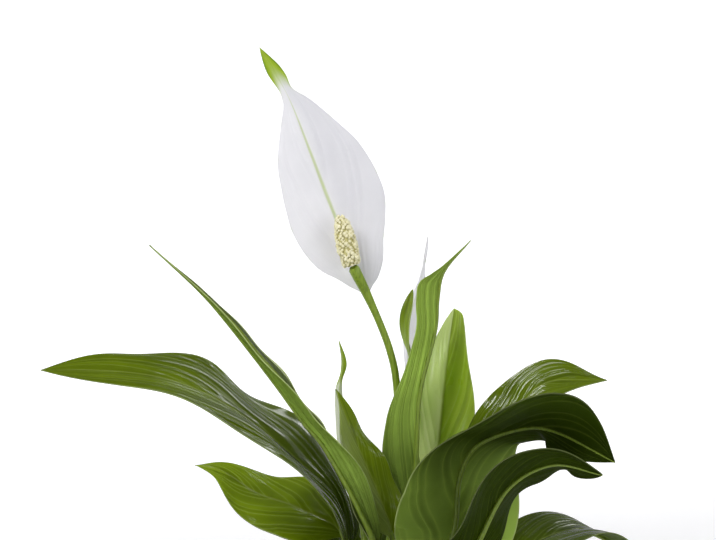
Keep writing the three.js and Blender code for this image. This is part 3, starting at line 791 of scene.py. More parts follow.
# %% Blade relief
PLAIN_VEINS = (15, 0.55)
VEINS_BELOW = 30
VEIN_CURVE = 1.15
VEIN_UNEVEN = 0.28
VEIN_UNEVEN_RATE = 2.1
RIBBING = 0.4
RIBS_DRAWN = 120
LEFT_RIBS_FROM = 50
RIB_STRENGTHS = (0.25, 1.25)
BUCKLING = 0.5
BUCKLES = 4
LEAST_BUCKLE = (1.5, -0.9, 0)
MOST_BUCKLE = (4.5, 0.9, 6.3)


def vein_count_at(blade, v, s):
    """A count of the side veins, from VEINS_BELOW on: a whole number on each, and a half between two."""
    count, slant = blade.get("veins", PLAIN_VEINS)
    even = VEINS_BELOW + count * (s - slant * np.abs(v) ** VEIN_CURVE) + 0.5 * (v < 0)
    return even + VEIN_UNEVEN * np.sin(VEIN_UNEVEN_RATE * even)


def ribbing_at(blade, v, s):
    """Nothing on a side vein, and most between two of them."""
    count = vein_count_at(blade, v, s)
    strengths = np.random.default_rng(len(blade["name"])).uniform(*RIB_STRENGTHS, RIBS_DRAWN)
    return strengths[count.astype(int) + LEFT_RIBS_FROM * (v < 0)] * np.abs(np.sin(np.pi * count))


def buckling_at(blade, v, s):
    """Shallow dents and swellings, different on every blade."""
    draw = np.random.default_rng(sum(map(ord, blade["name"])))
    waves = [
        np.sin(2 * np.pi * (along * s + across * v) + start)
        for along, across, start in draw.uniform(LEAST_BUCKLE, MOST_BUCKLE, (BUCKLES, 3))
    ]
    return BUCKLING * sum(waves) / 2


print("side veins of a plain blade, and their slant:", PLAIN_VEINS)

# %% Blade form
BLADE_SAG = 0.12
FULL_RELIEF_HALF_WIDTH = 25
RELIEF_OFF_RIB = (0.04, 0.22)
RELIEF_ENDS_AT_MARGIN = (0.8, 1)
RELIEF_FROM_BASE = (0, 0.1)
RELIEF_ENDS_AT_TIP = (0.88, 1)
GROOVE_DEPTH = 0.35
GROOVE_HALF_WIDTH = 0.9


def sheet_at(blade, v, s, radius, join):
    """Where a blade's sheet lies beside and above its rib, at column v (-1 to 1) and share s."""
    left, right = reaches(blade, s)
    half = np.maximum(np.where(v < 0, left, right), radius * (1 - s) ** 3)
    fold = math.radians(blade["fold"])
    out = np.abs(v) * half
    sag = blade.get("sag", BLADE_SAG) * half * v * v
    waves = blade.get("waves", NO_WAVES)
    height, count, start = [np.where(v < 0, a, b) for a, b in zip(waves["left"], waves["right"])]
    ripple = height * v * v * np.sin(2 * np.pi * (count * s + start)) * 2 * half / blade["width"]
    inside = smooth_step(*RELIEF_OFF_RIB, np.abs(v)) * (1 - smooth_step(*RELIEF_ENDS_AT_MARGIN, np.abs(v)))
    inside *= smooth_step(*RELIEF_FROM_BASE, s) * (1 - smooth_step(*RELIEF_ENDS_AT_TIP, s))
    ribbing = RIBBING * blade.get("ribbing", 1) * (ribbing_at(blade, v, s) - 0.5)
    swell = (ribbing + buckling_at(blade, v, s)) * (half / FULL_RELIEF_HALF_WIDTH) * inside
    groove = GROOVE_DEPTH * np.exp(-((out / GROOVE_HALF_WIDTH) ** 2)) * (1 - s)
    sideways = np.sign(v) * (out * math.cos(fold) + sag * math.sin(fold))
    upwards = out * math.sin(fold) - sag * math.cos(fold) + ripple + swell - groove
    return (1 - join) * radius * v + join * sideways, join * upwards


print("a blade's margin sags by this share of its half width:", BLADE_SAG)

# %% Mesh helpers
MERGE_WITHIN = 1e-6


def coordinates(piece):
    places = np.empty(3 * len(piece.data.vertices))
    piece.data.vertices.foreach_get("co", places)
    return places.reshape(-1, 3)


def set_coordinates(piece, places):
    piece.data.vertices.foreach_set("co", np.ascontiguousarray(places, float).ravel())
    piece.data.update()


def merge_doubles(within=MERGE_WITHIN, outwards=False):
    """Merges the active piece's points that lie together; outwards also turns its faces out."""
    bpy.ops.object.mode_set(mode="EDIT")
    bpy.ops.mesh.select_all(action="SELECT")
    bpy.ops.mesh.remove_doubles(threshold=within)
    if outwards:
        bpy.ops.mesh.normals_make_consistent(inside=False)
    bpy.ops.object.mode_set(mode="OBJECT")


def paint_attribute(piece, name, values):
    attribute = piece.data.attributes.new(name, "FLOAT", "POINT")
    attribute.data.foreach_set("value", np.broadcast_to(values, len(piece.data.vertices)).astype(float))


def keep(piece, node):
    """Every piece rides on the plant's one body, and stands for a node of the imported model."""
    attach(piece, "root")
    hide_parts(node)


print("points that lie closer than this are merged, in metres:", MERGE_WITHIN)

# %% Blade maker
SHEET_THICKNESS = 0.5
SMOOTH_BELOW = math.radians(50)


def lay_blade(name, blade, rib, start, radius, join_over, grid, attributes, materials):
    """A grid primitive laid on the rib from the start share to its end, then made solid."""
    columns, rows = grid
    piece = new_piece(
        name, bpy.ops.mesh.primitive_grid_add, x_subdivisions=columns, y_subdivisions=rows, size=1
    )
    flat = coordinates(piece)
    v, s = 2 * flat[:, 0], flat[:, 1] + 0.5
    join = smooth_step(*join_over, s)
    sideways, upwards = sheet_at(blade, v, s, radius, join)
    at, across, up = frames_on(rib, start + (1 - start) * s, blade["faces"], s)
    set_coordinates(piece, MM * (at + across * sideways[:, None] + up * upwards[:, None]))
    paint_attribute(piece, "vein_count", vein_count_at(blade, v, s))
    for attribute, value in attributes.items():
        paint_attribute(piece, attribute, value(v, s))
    for material in materials:
        piece.data.materials.append(material)
    merge_doubles()
    lower = len(materials) - 1
    finish_modifier(
        piece, "SOLIDIFY", thickness=SHEET_THICKNESS * MM, offset=0,
        material_offset=lower, material_offset_rim=lower,
    )
    bpy.ops.object.shade_smooth_by_angle(angle=SMOOTH_BELOW)
    return piece


print("blades are this thick, in mm:", SHEET_THICKNESS)

# %% [markdown]
# ## A stalk: a round line with a changing radius
# A stalk is a tube that thins as it rises. The same tube runs on below the blade as its midrib, sinking
# into the sheet, so stalk and midrib are one line as on the plant. A curve with a round bevel makes it:
# each point has its own radius, and the curve is then converted to a mesh.

# %% Stalk maker
STALK_STEP = 3.5
STALK_RADIUS = 2.6
STALK_RADIUS_AT_BLADE = 1.6
STALK_ROUNDNESS = 3
MIDRIB_TAPER = 0.8
MIDRIB_END_RADIUS = 0.2
MIDRIB_SUNK = 0.05
BLADE_BEGINS = (0, 0.07)


def round_line(name, places, radii, material, roundness=STALK_ROUNDNESS):
    """A tube through the places, closed at both ends."""
    piece = new_piece(name, bpy.ops.curve.primitive_bezier_curve_add)
    curve = piece.data
    curve.splines.clear()
    spline = curve.splines.new("POLY")
    spline.points.add(len(places) - 1)
    spline.points.foreach_set("co", np.column_stack([MM * places, np.ones(len(places))]).ravel())
    spline.points.foreach_set("radius", np.asarray(radii, float))
    curve.bevel_depth = MM
    curve.bevel_resolution = roundness
    curve.use_fill_caps = True
    bpy.ops.object.convert(target="MESH")
    merge_doubles(outwards=True)
    bpy.ops.object.shade_smooth_by_angle(angle=SMOOTH_BELOW)
    piece.data.materials.append(material)
    return piece


def stalk_and_midrib(name, blade, rib, start, material):
    """A leaf's stalk up to the start share, and from there the midrib, sunk into the blade from below."""
    count = int(rib["length"] / STALK_STEP)
    u = np.linspace(0, 1, count)
    s = np.clip((u - start) / (1 - start), 0, 1)
    stalk = STALK_RADIUS + (STALK_RADIUS_AT_BLADE - STALK_RADIUS) * np.clip(u / start, 0, 1)
    radii = stalk * (1 - s) ** MIDRIB_TAPER * blade.get("rib_size", 1) ** s + MIDRIB_END_RADIUS * s
    at, _, up = frames_on(rib, u, blade["faces"], s)
    sunk = smooth_step(*BLADE_BEGINS, s) * (radii + MIDRIB_SUNK)
    return round_line(name, at - up * sunk[:, None], radii, material)


print("a stalk's radius at the soil and at the blade, in mm:", STALK_RADIUS, STALK_RADIUS_AT_BLADE)

# %% [markdown]
# ## The leaves
# The high leaves are the ones that the photograph shows, each with its own rib, width, fold and waves,
# found by trial. A leaf is a list of millimetre values: where it leaves the soil, the points
# of its stalk and blade, and the way its upper side faces at base, middle and tip. An outline says how
# far it reaches to left and right at shares of its length. Waves have a height, a count and a start, and
# veins a count and a slant. Youth is given at four places along the leaf and paleness for its two halves.
# One more value paints a highlight, a pale streak along the right margin, and painted shade on the outer
# part of that half.

# %% High leaves
HIGH_LEAVES = [
    {
        "name": "leaf_left_high", "root": (-12, -16),
        # Its right margin carries a painted highlight streak, with painted shade on the outer part of that
        # half.
        "youth": (0.28, 0.66, 0.7, 0.6), "veins": (14, 0.8), "ribbing": 2, "painted_gleam": 1,
        "width": 22, "fold": 35, "full_at": 0.9, "drawn_out": 1.8, "rib_size": 0.6, "right": 1.05,
        "waves": {"left": (1, 4, 0.3), "right": (1, 6, 0)},
        "stalk": [(-10, -21, 160)],
        "blade": [
            (-6, -24, 200), (-13.5, -31, 224), (-29.5, -38, 254), (-41.5, -41, 269), (-55.5, -43, 288),
            (-78.5, -45, 317), (-92, -46, 332), (-115, -46, 353),
        ],
        "faces": [(0.1, 0.95, 0.1), (0.79, -0.06, 0.61), (0.67, -0.06, 0.74)],
    },
    {
        "name": "leaf_left_broad", "root": (-16, -4),
        "youth": (0, 0.16, 0.3, 0.34), "veins": (6, 0.75), "ribbing": 1.7,
        "width": 60, "fold": 13.6, "full_at": 0.4, "drawn_out": 0.96, "right": 1.13,
        "waves": {"left": (1.6, 2.6, 0.43), "right": (3.3, 3.2, 0.27)},
        "stalk": [(-16, -6, 160)],
        "blade": [
            (-18.8, -8, 198), (-26, -10, 226), (-44, -16, 246), (-73.5, -28, 271), (-101, -37, 286),
            (-130, -43, 292), (-167, -47, 293),
        ],
        "faces": [(0.97, -0.16, 0.19), (0.6, -0.24, 0.77), (0, -0.72, 0.69)],
    },
    {
        "name": "leaf_left_low", "root": (-15, 8),
        "youth": (0.25, 0.6, 0.7, 0.75), "veins": (10, 0.5), "ribbing": 0.25,
        "width": 45, "fold": 5.4, "full_at": 0.59, "drawn_out": 1.29,
        "waves": {"left": (2.6, 1.35, 0.07), "right": (2.1, 1.35, -0.14)},
        "stalk": [(-18, 12, 160)],
        "blade": [
            (-22, 14, 204), (-45, 20, 218.7), (-66.5, 28, 225.4), (-85.3, 36, 236), (-100.3, 40, 239),
        ],
        "faces": [(0.37, -0.86, 0.36), (0.01, -0.55, 0.83), (-0.09, -0.83, 0.54)],
    },
    {
        "name": "leaf_centre_small", "root": (-3, -20),
        "youth": (0.46, 0.45, 0.48, 0.55), "veins": (11, 0.6), "ribbing": 0.25, "pale_and_gleam": (0.15, 0),
        "width": 34, "fold": 5.3, "waves": {"left": (1.8, 1.9, 0.33), "right": (1.6, 2.6, 0.97)},
        "outline": [
            (0, 0.05, 0.05), (0.1, 0.56, 0.56), (0.2, 0.81, 0.81), (0.3, 0.94, 0.94), (0.43, 1, 1),
            (0.6, 0.88, 0.91), (0.7, 0.7, 0.78), (0.8, 0.42, 0.59), (0.9, 0.14, 0.35), (0.96, 0.04, 0.17),
            (1, 0, 0),
        ],
        "stalk": [(1, -18, 160)],
        "blade": [
            (2, -16, 207), (-2.4, -16, 224), (-12, -16, 246.6), (-21.6, -15.5, 269.7), (-26, -15.5, 282),
        ],
        "faces": [(0.43, -0.9, 0.05), (0.8, -0.52, 0.31), (0.84, -0.42, 0.34)],
    },
    {
        "name": "leaf_centre_tall", "root": (6, -6),
        "youth": (0.3, 0.36, 0.78, 0.6), "veins": (10, 0.9), "ribbing": 1.6,
        "width": 38, "fold": 49, "waves": even_waves(0.8, 2.5),
        "outline": [
            (0, 0.08, 0.08), (0.08, 0.59, 0.21), (0.18, 0.84, 0.45), (0.3, 0.96, 0.87), (0.42, 0.97, 0.78),
            (0.54, 0.89, 0.51), (0.66, 0.74, 0.51), (0.78, 0.5, 0.58), (0.83, 0.38, 0.55),
            (0.86, 0.3, 0.26), (0.9, 0.2, 0.08), (1, 0, 0),
        ],
        "stalk": [(6, -3, 155)],
        "blade": [
            (9.5, 0, 194), (13.3, 3, 241), (15.4, 6, 277), (23.7, 8, 310), (25.2, 8, 326),
            (28.6, 8, 340.5), (42, 8, 356),
        ],
        "faces": [(0, 1, -0.07), (-0.77, 0.63, 0.08), (-0.63, 0.63, 0.46)],
    },
    {
        "name": "leaf_centre_back", "root": (13, 12),
        "youth": (0.9, 1, 1, 1), "veins": (8, 0.4), "ribbing": 1.8, "pale_and_gleam": (0.8, 0.1),
        "width": 29, "fold": 14, "waves": {"left": (1.9, 1.6, 0.2), "right": (3, 1.9, -0.31)},
        "outline": [
            (0, 0.05, 0.05), (0.05, 0.42, 0.52), (0.1, 0.59, 0.72), (0.2, 0.8, 0.97), (0.35, 0.95, 1.17),
            (0.5, 1, 1.22), (0.65, 0.95, 1.16), (0.8, 0.77, 0.96), (0.88, 0.57, 0.77), (0.94, 0.35, 0.57),
            (0.98, 0.14, 0.38), (1, 0, 0),
        ],
        "stalk": [(17, 18, 155)],
        "blade": [(21, 24, 198), (25, 28, 232), (28.7, 31, 268), (32.3, 35, 299), (35.3, 38, 321)],
        "faces": [(0.27, -0.96, 0.09), (-0.33, -0.94, 0.1), (-0.63, -0.76, 0.19)],
    },
    {
        # Its youth falls to nothing towards the tip, partly the dark green of an old leaf and partly
        # painted shade where the leaf lies in shadow.
        "name": "leaf_right_front", "root": (14, -14), "youth": (0.66, 0.5, 0.02, 0),
        "veins": (9, 0.5),
        "width": 70, "fold": 4, "waves": even_waves(1.2, 2.5),
        "outline": [
            (0, 0.05, 0.05), (0.08, 0.7, 0.69), (0.18, 0.92, 0.9), (0.3, 1, 1), (0.42, 1, 1),
            (0.54, 0.91, 0.98), (0.66, 0.75, 1.05), (0.78, 0.53, 0.98), (0.9, 0.27, 0.5), (1, 0, 0),
        ],
        "stalk": [(19, -23, 150)],
        "blade": [
            (21, -30, 190), (31, -36, 215), (33, -44, 241), (41, -55, 258), (61, -68, 267),
            (77, -74, 266), (104, -80, 252),
        ],
        "faces": [(0.2, 0.97, 0.15), (-0.47, 0.39, 0.79), (0.39, 0.84, 0.38)],
    },
    {
        "name": "leaf_right_back", "root": (15, 1),
        "youth": (0.2, 0.2, 0.3, 0.3), "veins": (11, 0.7), "ribbing": 1.8,
        "width": 44, "fold": 12, "drawn_out": 1, "waves": even_waves(1, 2.5),
        "stalk": [(18, 1, 155), (28, -2, 205)],
        "blade": [
            (40.5, -2, 241), (49.8, -2, 256.7), (62, -5, 267.4), (78, -12, 284.7), (107.6, -20, 286.7),
        ],
        "faces": [(-0.86, -0.4, 0.32), (-0.64, -0.49, 0.59), (-0.2, -0.35, 0.91)],
    },
    {
        "name": "leaf_right_low", "root": (7, -24), "youth": (0, 0, 0, 0),
        "width": 47.5, "fold": 8.7, "full_at": 0.64, "drawn_out": 0.84, "right": 1.07,
        "waves": {"left": (2.6, 2.45, 0.32), "right": (2.7, 1.85, -0.05)},
        "stalk": [(18, -36, 145)],
        "blade": [(29, -48, 188), (40, -56, 210), (54, -72, 239), (74, -88, 252), (96, -98, 248)],
        "faces": [(-0.51, 0.75, 0.42), (-0.6, 0.44, 0.67), (0.42, 0.6, 0.68)],
    },
    {
        "name": "leaf_back_high", "root": (5, 26), "youth": (0.1, 0.2, 0.3, 0.3),
        "width": 38, "fold": 14, "waves": even_waves(1, 2),
        "stalk": [(14, 39, 160)],
        "blade": [(23, 45, 196), (31, 57, 230), (35, 80, 252), (36, 112, 256), (36, 145, 240)],
        "faces": [(0, -0.8, 0.5), (0, -0.2, 1), (0, 0.3, 1)],
    },
    {
        "name": "leaf_behind_tip", "root": (1, 15), "youth": (0.9, 1, 1, 0.9),
        "width": 23, "fold": 8, "drawn_out": 0.8, "waves": even_waves(0.4, 2),
        "stalk": [(1, 34, 175)],
        "blade": [
            (6, 36, 221), (10, 36, 257), (14, 36, 284), (10, 35, 304), (9.5, 35, 316), (13.5, 35, 331),
        ],
        "faces": [(-0.96, -0.27, 0.11), (-0.98, 0.14, -0.09), (-0.65, -0.73, 0.21)],
    },
]
print("high leaves:", len(HIGH_LEAVES))

# %% [markdown]
# ## The low leaves
# The low outer leaves aren't in the photograph, but a healthy clump has them all round. They follow one
# rule: each leaves the clump in its own direction, rises, arches over and droops at its tip.

# %% Low leaves
LOW_LEAVES = [
    {"name": "leaf_low_right", "heading": -6, "reach": 168, "top": 178, "droop": 34, "width": 50},
    {"name": "leaf_low_right_back", "heading": 26, "reach": 168, "top": 204, "droop": 40, "width": 54},
    {"name": "leaf_low_back_right", "heading": 65, "reach": 160, "top": 200, "droop": 44, "width": 54},
    {"name": "leaf_low_back", "heading": 100, "reach": 156, "top": 214, "droop": 40, "width": 50},
    {"name": "leaf_low_back_left", "heading": 136, "reach": 160, "top": 190, "droop": 36, "width": 52},
    {"name": "leaf_low_left", "heading": 174, "reach": 168, "top": 176, "droop": 36, "width": 50},
    {"name": "leaf_low_left_front", "heading": 214, "reach": 152, "top": 182, "droop": 42, "width": 52},
    {"name": "leaf_low_front", "heading": 258, "reach": 157, "top": 172, "droop": 40, "width": 48},
    {"name": "leaf_low_right_front", "heading": 308, "reach": 150, "top": 166, "droop": 36, "width": 46},
]
LOW_ROOT_RING = 31
LOW_FOLD = 14
LOW_WAVES = even_waves(1.6, 2)
LOW_STALK = (0.23, 0.35)
LOW_RISE = [(0.3, 0.62), (0.47, 0.91), (0.67, 1)]
LOW_DROOP = [(0.85, 0.35), (1, 1)]
LEAST_YOUTH = 0.05
YOUTH_RANGE = 0.3
YOUTH_CYCLE = 97


def low_leaf(name, heading, reach, top, droop, width):
    """A leaf that rises to its top and droops towards its tip, all at shares of its reach."""
    cos, sin = math.cos(math.radians(heading)), math.sin(math.radians(heading))
    rise = top - SOIL_TOP
    stalk_out, stalk_up = LOW_STALK
    path = [(out, SOIL_TOP + share * rise) for out, share in LOW_RISE]
    path += [(out, top - share * droop) for out, share in LOW_DROOP]
    return {
        "name": name,
        "root": (cos * LOW_ROOT_RING, sin * LOW_ROOT_RING),
        "youth": [LEAST_YOUTH + YOUTH_RANGE * (heading % YOUTH_CYCLE) / YOUTH_CYCLE] * 4,
        "width": width,
        "fold": LOW_FOLD,
        "waves": LOW_WAVES,
        "stalk": [(cos * stalk_out * reach, sin * stalk_out * reach, SOIL_TOP + stalk_up * rise)],
        "blade": [(cos * out * reach, sin * out * reach, z) for out, z in path],
        "faces": [(-cos, -sin, 0.7), (0.1 * sin, -0.1 * cos, 1), (cos, sin, 0.8)],
    }


LEAVES = HIGH_LEAVES + [low_leaf(**leaf) for leaf in LOW_LEAVES]
print("leaves:", len(LEAVES))

# %% [markdown]
# ## Growing the leaves
# Each leaf is now grown from its values: its rib first, then the blade on the upper part of the rib, and
# the stalk with its midrib all along it. What is painted on the blade, youth and pale, is worked out
# for every point from its column v, -1 to 1 across the blade, and its share s of the way to the tip.

# %% Grow the leaves
HIGH_GRID = (96, 110)
LOW_GRID = (72, 84)
YOUTH_PLACES = (0, 0.3, 0.55, 1)
PALE_OFF_RIB = (0, 0.1)
# Painted highlight: a pale streak along one leaf's right margin; painted shade: youth lowered over the
# outer part of that half.
PAINTED_GLEAM_STRENGTH = 0.8
PAINTED_SHADE_BEHIND_GLEAM = (0.45, 0.6)
PAINTED_GLEAM_OVER = (0.86, 0.92)


def grow_leaf(leaf):
    foot = [*stalk_root(*leaf["root"]), *leaf["stalk"]]
    rib = rib_through([*foot, *leaf["blade"]])
    start = rib["share"][SPAN_STEPS * len(foot)]
    name = leaf["name"]
    grid = LOW_GRID if name.startswith("leaf_low") else HIGH_GRID
    pale_left, pale_right = leaf.get("pale_and_gleam", (0, 0))
    painted_gleam = PAINTED_GLEAM_STRENGTH * leaf.get("painted_gleam", 0)

    # Youth is lowered over the outer part of the streaked half: painted shade.
    def leaf_youth(v, s):
        along = np.interp(s, YOUTH_PLACES, leaf["youth"])
        return along * (1 - painted_gleam * smooth_step(*PAINTED_SHADE_BEHIND_GLEAM, v))

    # Pale on the halves that unroll, and a painted highlight as a streak along one margin.
    def leaf_pale_and_gleam(v, s):
        side = np.where(v < 0, pale_left, pale_right) * smooth_step(*PALE_OFF_RIB, np.abs(v))
        return side + painted_gleam * smooth_step(*PAINTED_GLEAM_OVER, v)

    blade = lay_blade(
        f"{name}_blade", leaf, rib, start, STALK_RADIUS_AT_BLADE, BLADE_BEGINS, grid,
        {"youth": leaf_youth, "pale_and_gleam": leaf_pale_and_gleam}, [LEAF_UPPER, LEAF_UNDER],
    )
    stalk = stalk_and_midrib(f"{name}_stalk", leaf, rib, start, LEAF_STALK)
    for piece in (blade, stalk):
        keep(piece, name)
    return blade


for leaf in LEAVES:
    blade = grow_leaf(leaf)
    low, high = np.array(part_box(leaf["name"]))
    places = coordinates(blade)
    past = np.maximum(low - places.min(0), places.max(0) - high).max() / MM
    print(blade.name, len(blade.data.polygons), "faces, past the node by mm:", round(past, 1))

# %% [markdown]
# ## The blooms
# A bloom has a stalk of its own. Near its top the spathe opens behind it, and the spadix stands on its
# end. The open bloom's spathe narrows to a twisted green tip, and its outline is wider on one side, so
# it is given as a short list of how far it reaches to each side of its rib. Green_from is the share of
# the length where the green begins, and tint is how green a young spathe is all over. One more value is
# 1 where one half of a spathe is greyed by painted shade, because that half is turned from the light.

# %% Bloom sizes
BLOOM_STALK_RADIUS = 2.3
BLOOM_STALK_RADIUS_AT_TOP = 1.75

OPEN_OUTLINE = [
    (0, 0.1, 0.1), (0.1, 0.47, 0.5), (0.2, 0.74, 0.78), (0.31, 0.84, 1.01), (0.4, 0.8, 1.04),
    (0.49, 0.73, 0.975), (0.575, 0.63, 0.835), (0.7, 0.33, 0.5), (0.76, 0.16, 0.32), (0.79, 0.12, 0.2),
    (0.82, 0.1, 0.13), (0.86, 0.12, 0.15), (0.9, 0.13, 0.14), (0.935, 0.1, 0.1), (0.97, 0.05, 0.05),
    (1, 0, 0),
]
FURLED_OUTLINE = [
    (0, 0.1, 0.1), (0.1, 0.4, 0.4), (0.24, 0.6, 0.9), (0.4, 0.5, 1), (0.56, 0.3, 1), (0.66, 0.2, 0.75),
    (0.74, 0.14, 0.3), (0.82, 0.3, 0.28), (0.88, 0.24, 0.22), (0.95, 0.1, 0.1), (1, 0, 0),
]
BLOOMS = [
    {
        "name": "open_bloom",
        "root": (-1, 5),
        "through": [
            (0, 7, 160), (3, 9, 204), (5.4, 12, 234), (5.9, 13, 260), (4.4, 14, 285), (1.5, 12.5, 299),
            (-3.1, 10, 312), (-10.2, 6, 328), (-17.4, 0, 342.4),
        ],
        "green_from": 0.82, "painted_shade_half": 1, "tint": 0,
        "spathe": {
            "width": 54, "fold": 10, "sag": 0.2, "outline": OPEN_OUTLINE, "veins": (6, 0.8), "ribbing": 1,
            "rib": [
                (-10.6, 8.5, 328.9), (-15, 10.2, 342), (-21.1, 10.5, 354.7), (-30.4, 9.5, 377.3),
                (-38.9, 6.5, 399.7), (-50.8, 2, 429.5), (-64.6, 0, 453),
            ],
            "faces": [(0.1, -1, 0.1), (0.12, -1, 0.05), (0.1, -1, 0)],
        },
        "spadix": {"start": (-18, 0, 343.3), "end": (-24.2, 0, 368), "radius": 5.7},
    },
    {
        "name": "back_bloom",
        "root": (-5, 17),
        "through": [(-3, 38, 170), (5, 50, 215), (13, 58, 255), (16.8, 60, 278), (17.4, 60, 287)],
        "green_from": 1.1, "painted_shade_half": 0, "tint": 0,
        "spathe": {
            "width": 36, "fold": 16, "sag": 0.2, "outline": OPEN_OUTLINE, "veins": (6, 0.8), "ribbing": 1,
            "rib": [
                (14.1, 60, 277), (12.2, 60, 287), (11.8, 60, 297), (12.2, 60, 306), (13.2, 60, 315),
                (15.4, 60, 325), (18.6, 60, 334.6), (20.4, 60, 346.3), (22.3, 60, 359),
            ],
            "faces": [(0.97, 0.2, 0), (0.97, 0.2, 0), (0.97, 0.2, 0)],
        },
        "spadix": {"start": (17.5, 60, 287.6), "end": (18.8, 60, 308), "radius": 4},
    },
    {
        "name": "young_bloom",
        "root": (-7, -4),
        "through": [(-8, 2, 165), (-11, 13, 200), (-15, 21, 222), (-19, 24.4, 234), (-20.6, 25, 240.2)],
        "green_from": 0.66, "painted_shade_half": 0, "tint": 0.58,
        "spathe": {
            "width": 15, "fold": 60, "sag": 0.1, "outline": FURLED_OUTLINE, "veins": (7, 0.9),
            "ribbing": 0.4,
            "rib": [
                (-19.2, 21, 231), (-21.6, 20, 240), (-23.3, 20, 254), (-24, 20, 267), (-24.5, 20, 277),
                (-24.2, 20, 283), (-22.9, 20, 290), (-22.9, 20, 296), (-24.8, 20, 305),
            ],
            "faces": [(0.3, 1, 0), (0.3, 1, 0), (0.3, 1, 0)],
        },
        "spadix": {"start": (-20.7, 25.1, 240.9), "end": (-21.6, 25.5, 262), "radius": 1.9},
    },
]
print("blooms:", len(BLOOMS))

# %% Bloom stalks
STALK_NECK = 1.1
STALK_NECK_OVER = (0.88, 1)
STALK_END_SHARE = 0.75
BLOOM_STALK_ROUNDNESS = 4


def grow_bloom_stalk(bloom):
    """A stalk that swells to a neck below the spadix, its top edge chamfered over the last millimetre."""
    rib = rib_through([*stalk_root(*bloom["root"]), *bloom["through"]])
    u = np.append(np.linspace(0, 1 - 1 / rib["length"], int(rib["length"] / STALK_STEP)), 1)
    radii = BLOOM_STALK_RADIUS + (BLOOM_STALK_RADIUS_AT_TOP - BLOOM_STALK_RADIUS) * u
    radii += STALK_NECK * smooth_step(*STALK_NECK_OVER, u)
    radii[-1] *= STALK_END_SHARE
    node = f"{bloom['name']}_stalk"
    places = at_shares(rib, u, rib["line"])
    piece = round_line(f"{node}_round", places, radii, BLOOM_STALK, BLOOM_STALK_ROUNDNESS)
    keep(piece, node)
    return piece


print("a bloom stalk's radius at its neck, in mm:", round(BLOOM_STALK_RADIUS_AT_TOP + STALK_NECK, 2))

# %% Spathes
SPATHE_BASE_RADIUS = 1
SPATHE_BEGINS = (-0.03, 0.05)
SPATHE_GRID = (72, 110)
GREEN_BEFORE = 0.08
GREEN_AFTER = 0.12
GREENER_MARGIN = 0.7
PAINTED_SHADE_HALF_OVER = (-0.1, 0.3)


def grow_spathe(bloom):
    spathe = bloom["spathe"]
    rib = rib_through(spathe["rib"])
    node = f"{bloom['name']}_spathe"
    spathe["name"] = node

    def greenness(v, s):
        start = bloom["green_from"]
        towards_tip = smooth_step(start - GREEN_BEFORE, start + GREEN_AFTER, s)
        return np.maximum(towards_tip * (1 + GREENER_MARGIN * np.abs(v) ** 3), bloom["tint"])

    # Painted shade: 1 on the half of the spathe that is turned from the light.
    def painted_shade_half(v, s):
        return bloom["painted_shade_half"] * smooth_step(*PAINTED_SHADE_HALF_OVER, v)

    piece = lay_blade(
        f"{node}_sheet", spathe, rib, 0, SPATHE_BASE_RADIUS, SPATHE_BEGINS, SPATHE_GRID,
        {"greenness": greenness, "painted_shade_half": painted_shade_half}, [SPATHE_WHITE],
    )
    keep(piece, node)
    return piece


for bloom in BLOOMS:
    stalk, spathe = grow_bloom_stalk(bloom), grow_spathe(bloom)
    print(stalk.name, len(stalk.data.polygons), spathe.name, len(spathe.data.polygons))

# %% [markdown]
# ## The spadices
# A spadix is a blunt spike set all over with florets in spirals. One floret is modelled by hand: a
# seven-sided knob whose top is inset for the petals' rim and drawn up into a stigma. Copies of it are
# then set on the swelling core, each turned by the golden angle from the last, as they grow.

# %% One floret
FLORET_SIDES = 7
FLORET_HEIGHT = 0.6
FLORET_INSETS = [(0.13, 0.14), (0.13, -0.03), (0.08, 0.16)]
CROWN_HEIGHT = 0.9


def make_floret():
    """A floret one unit wide that stands on the origin along +Z, its stigma just below CROWN_HEIGHT."""
    piece = new_piece(
        "floret", bpy.ops.mesh.primitive_cylinder_add,
        vertices=FLORET_SIDES, radius=0.5, depth=FLORET_HEIGHT, location=(0, 0, FLORET_HEIGHT / 2),
    )
    bpy.ops.object.transform_apply(location=True)
    bpy.ops.object.mode_set(mode="EDIT")
    bpy.ops.mesh.select_all(action="DESELECT")
    bpy.ops.object.mode_set(mode="OBJECT")
    for face in piece.data.polygons:
        face.select = face.normal.z > 0.5
    bpy.ops.object.mode_set(mode="EDIT")
    for thickness, depth in FLORET_INSETS:
        bpy.ops.mesh.inset(thickness=thickness, depth=depth)
    bpy.ops.object.mode_set(mode="OBJECT")
    return piece


def copies_of(name, pattern, placements):
    """One mesh of many copies: each placement is a 3 x 3 turn and scale, and a place."""
    places = coordinates(pattern)
    count = len(places)
    faces = [list(face.vertices) for face in pattern.data.polygons]
    points = np.vstack([places @ turn.T + at for turn, at in placements])
    all_faces = [[i + k * count for i in face] for k in range(len(placements)) for face in faces]
    mesh = bpy.data.meshes.new(name)
    mesh.from_pydata(points.tolist(), [], all_faces)
    piece = bpy.data.objects.new(name, mesh)
    bpy.context.scene.collection.objects.link(piece)
    return piece


floret = make_floret()
print("floret faces:", len(floret.data.polygons))

# %% Set the florets
GOLDEN_ANGLE = math.pi * (3 - math.sqrt(5))
FLORET_SHARE = 0.27
SMALLEST_FLORET = 1.1
FLORET_SIZE_AT_ENDS = 0.7
FLORET_SWELL = 0.35
SPADIX_UNEVEN = 0.22
SPADIX_END_FREE = 0.01
SWELL_STARTS_AT = 0.17
SWELL_BLUNTNESS = 0.45
SLOPE_STEP = 0.01


def turned_to(direction):
    """A turn that stands +Z along the direction."""
    return np.array(Vector(direction).to_track_quat("Z", "Y").to_matrix())


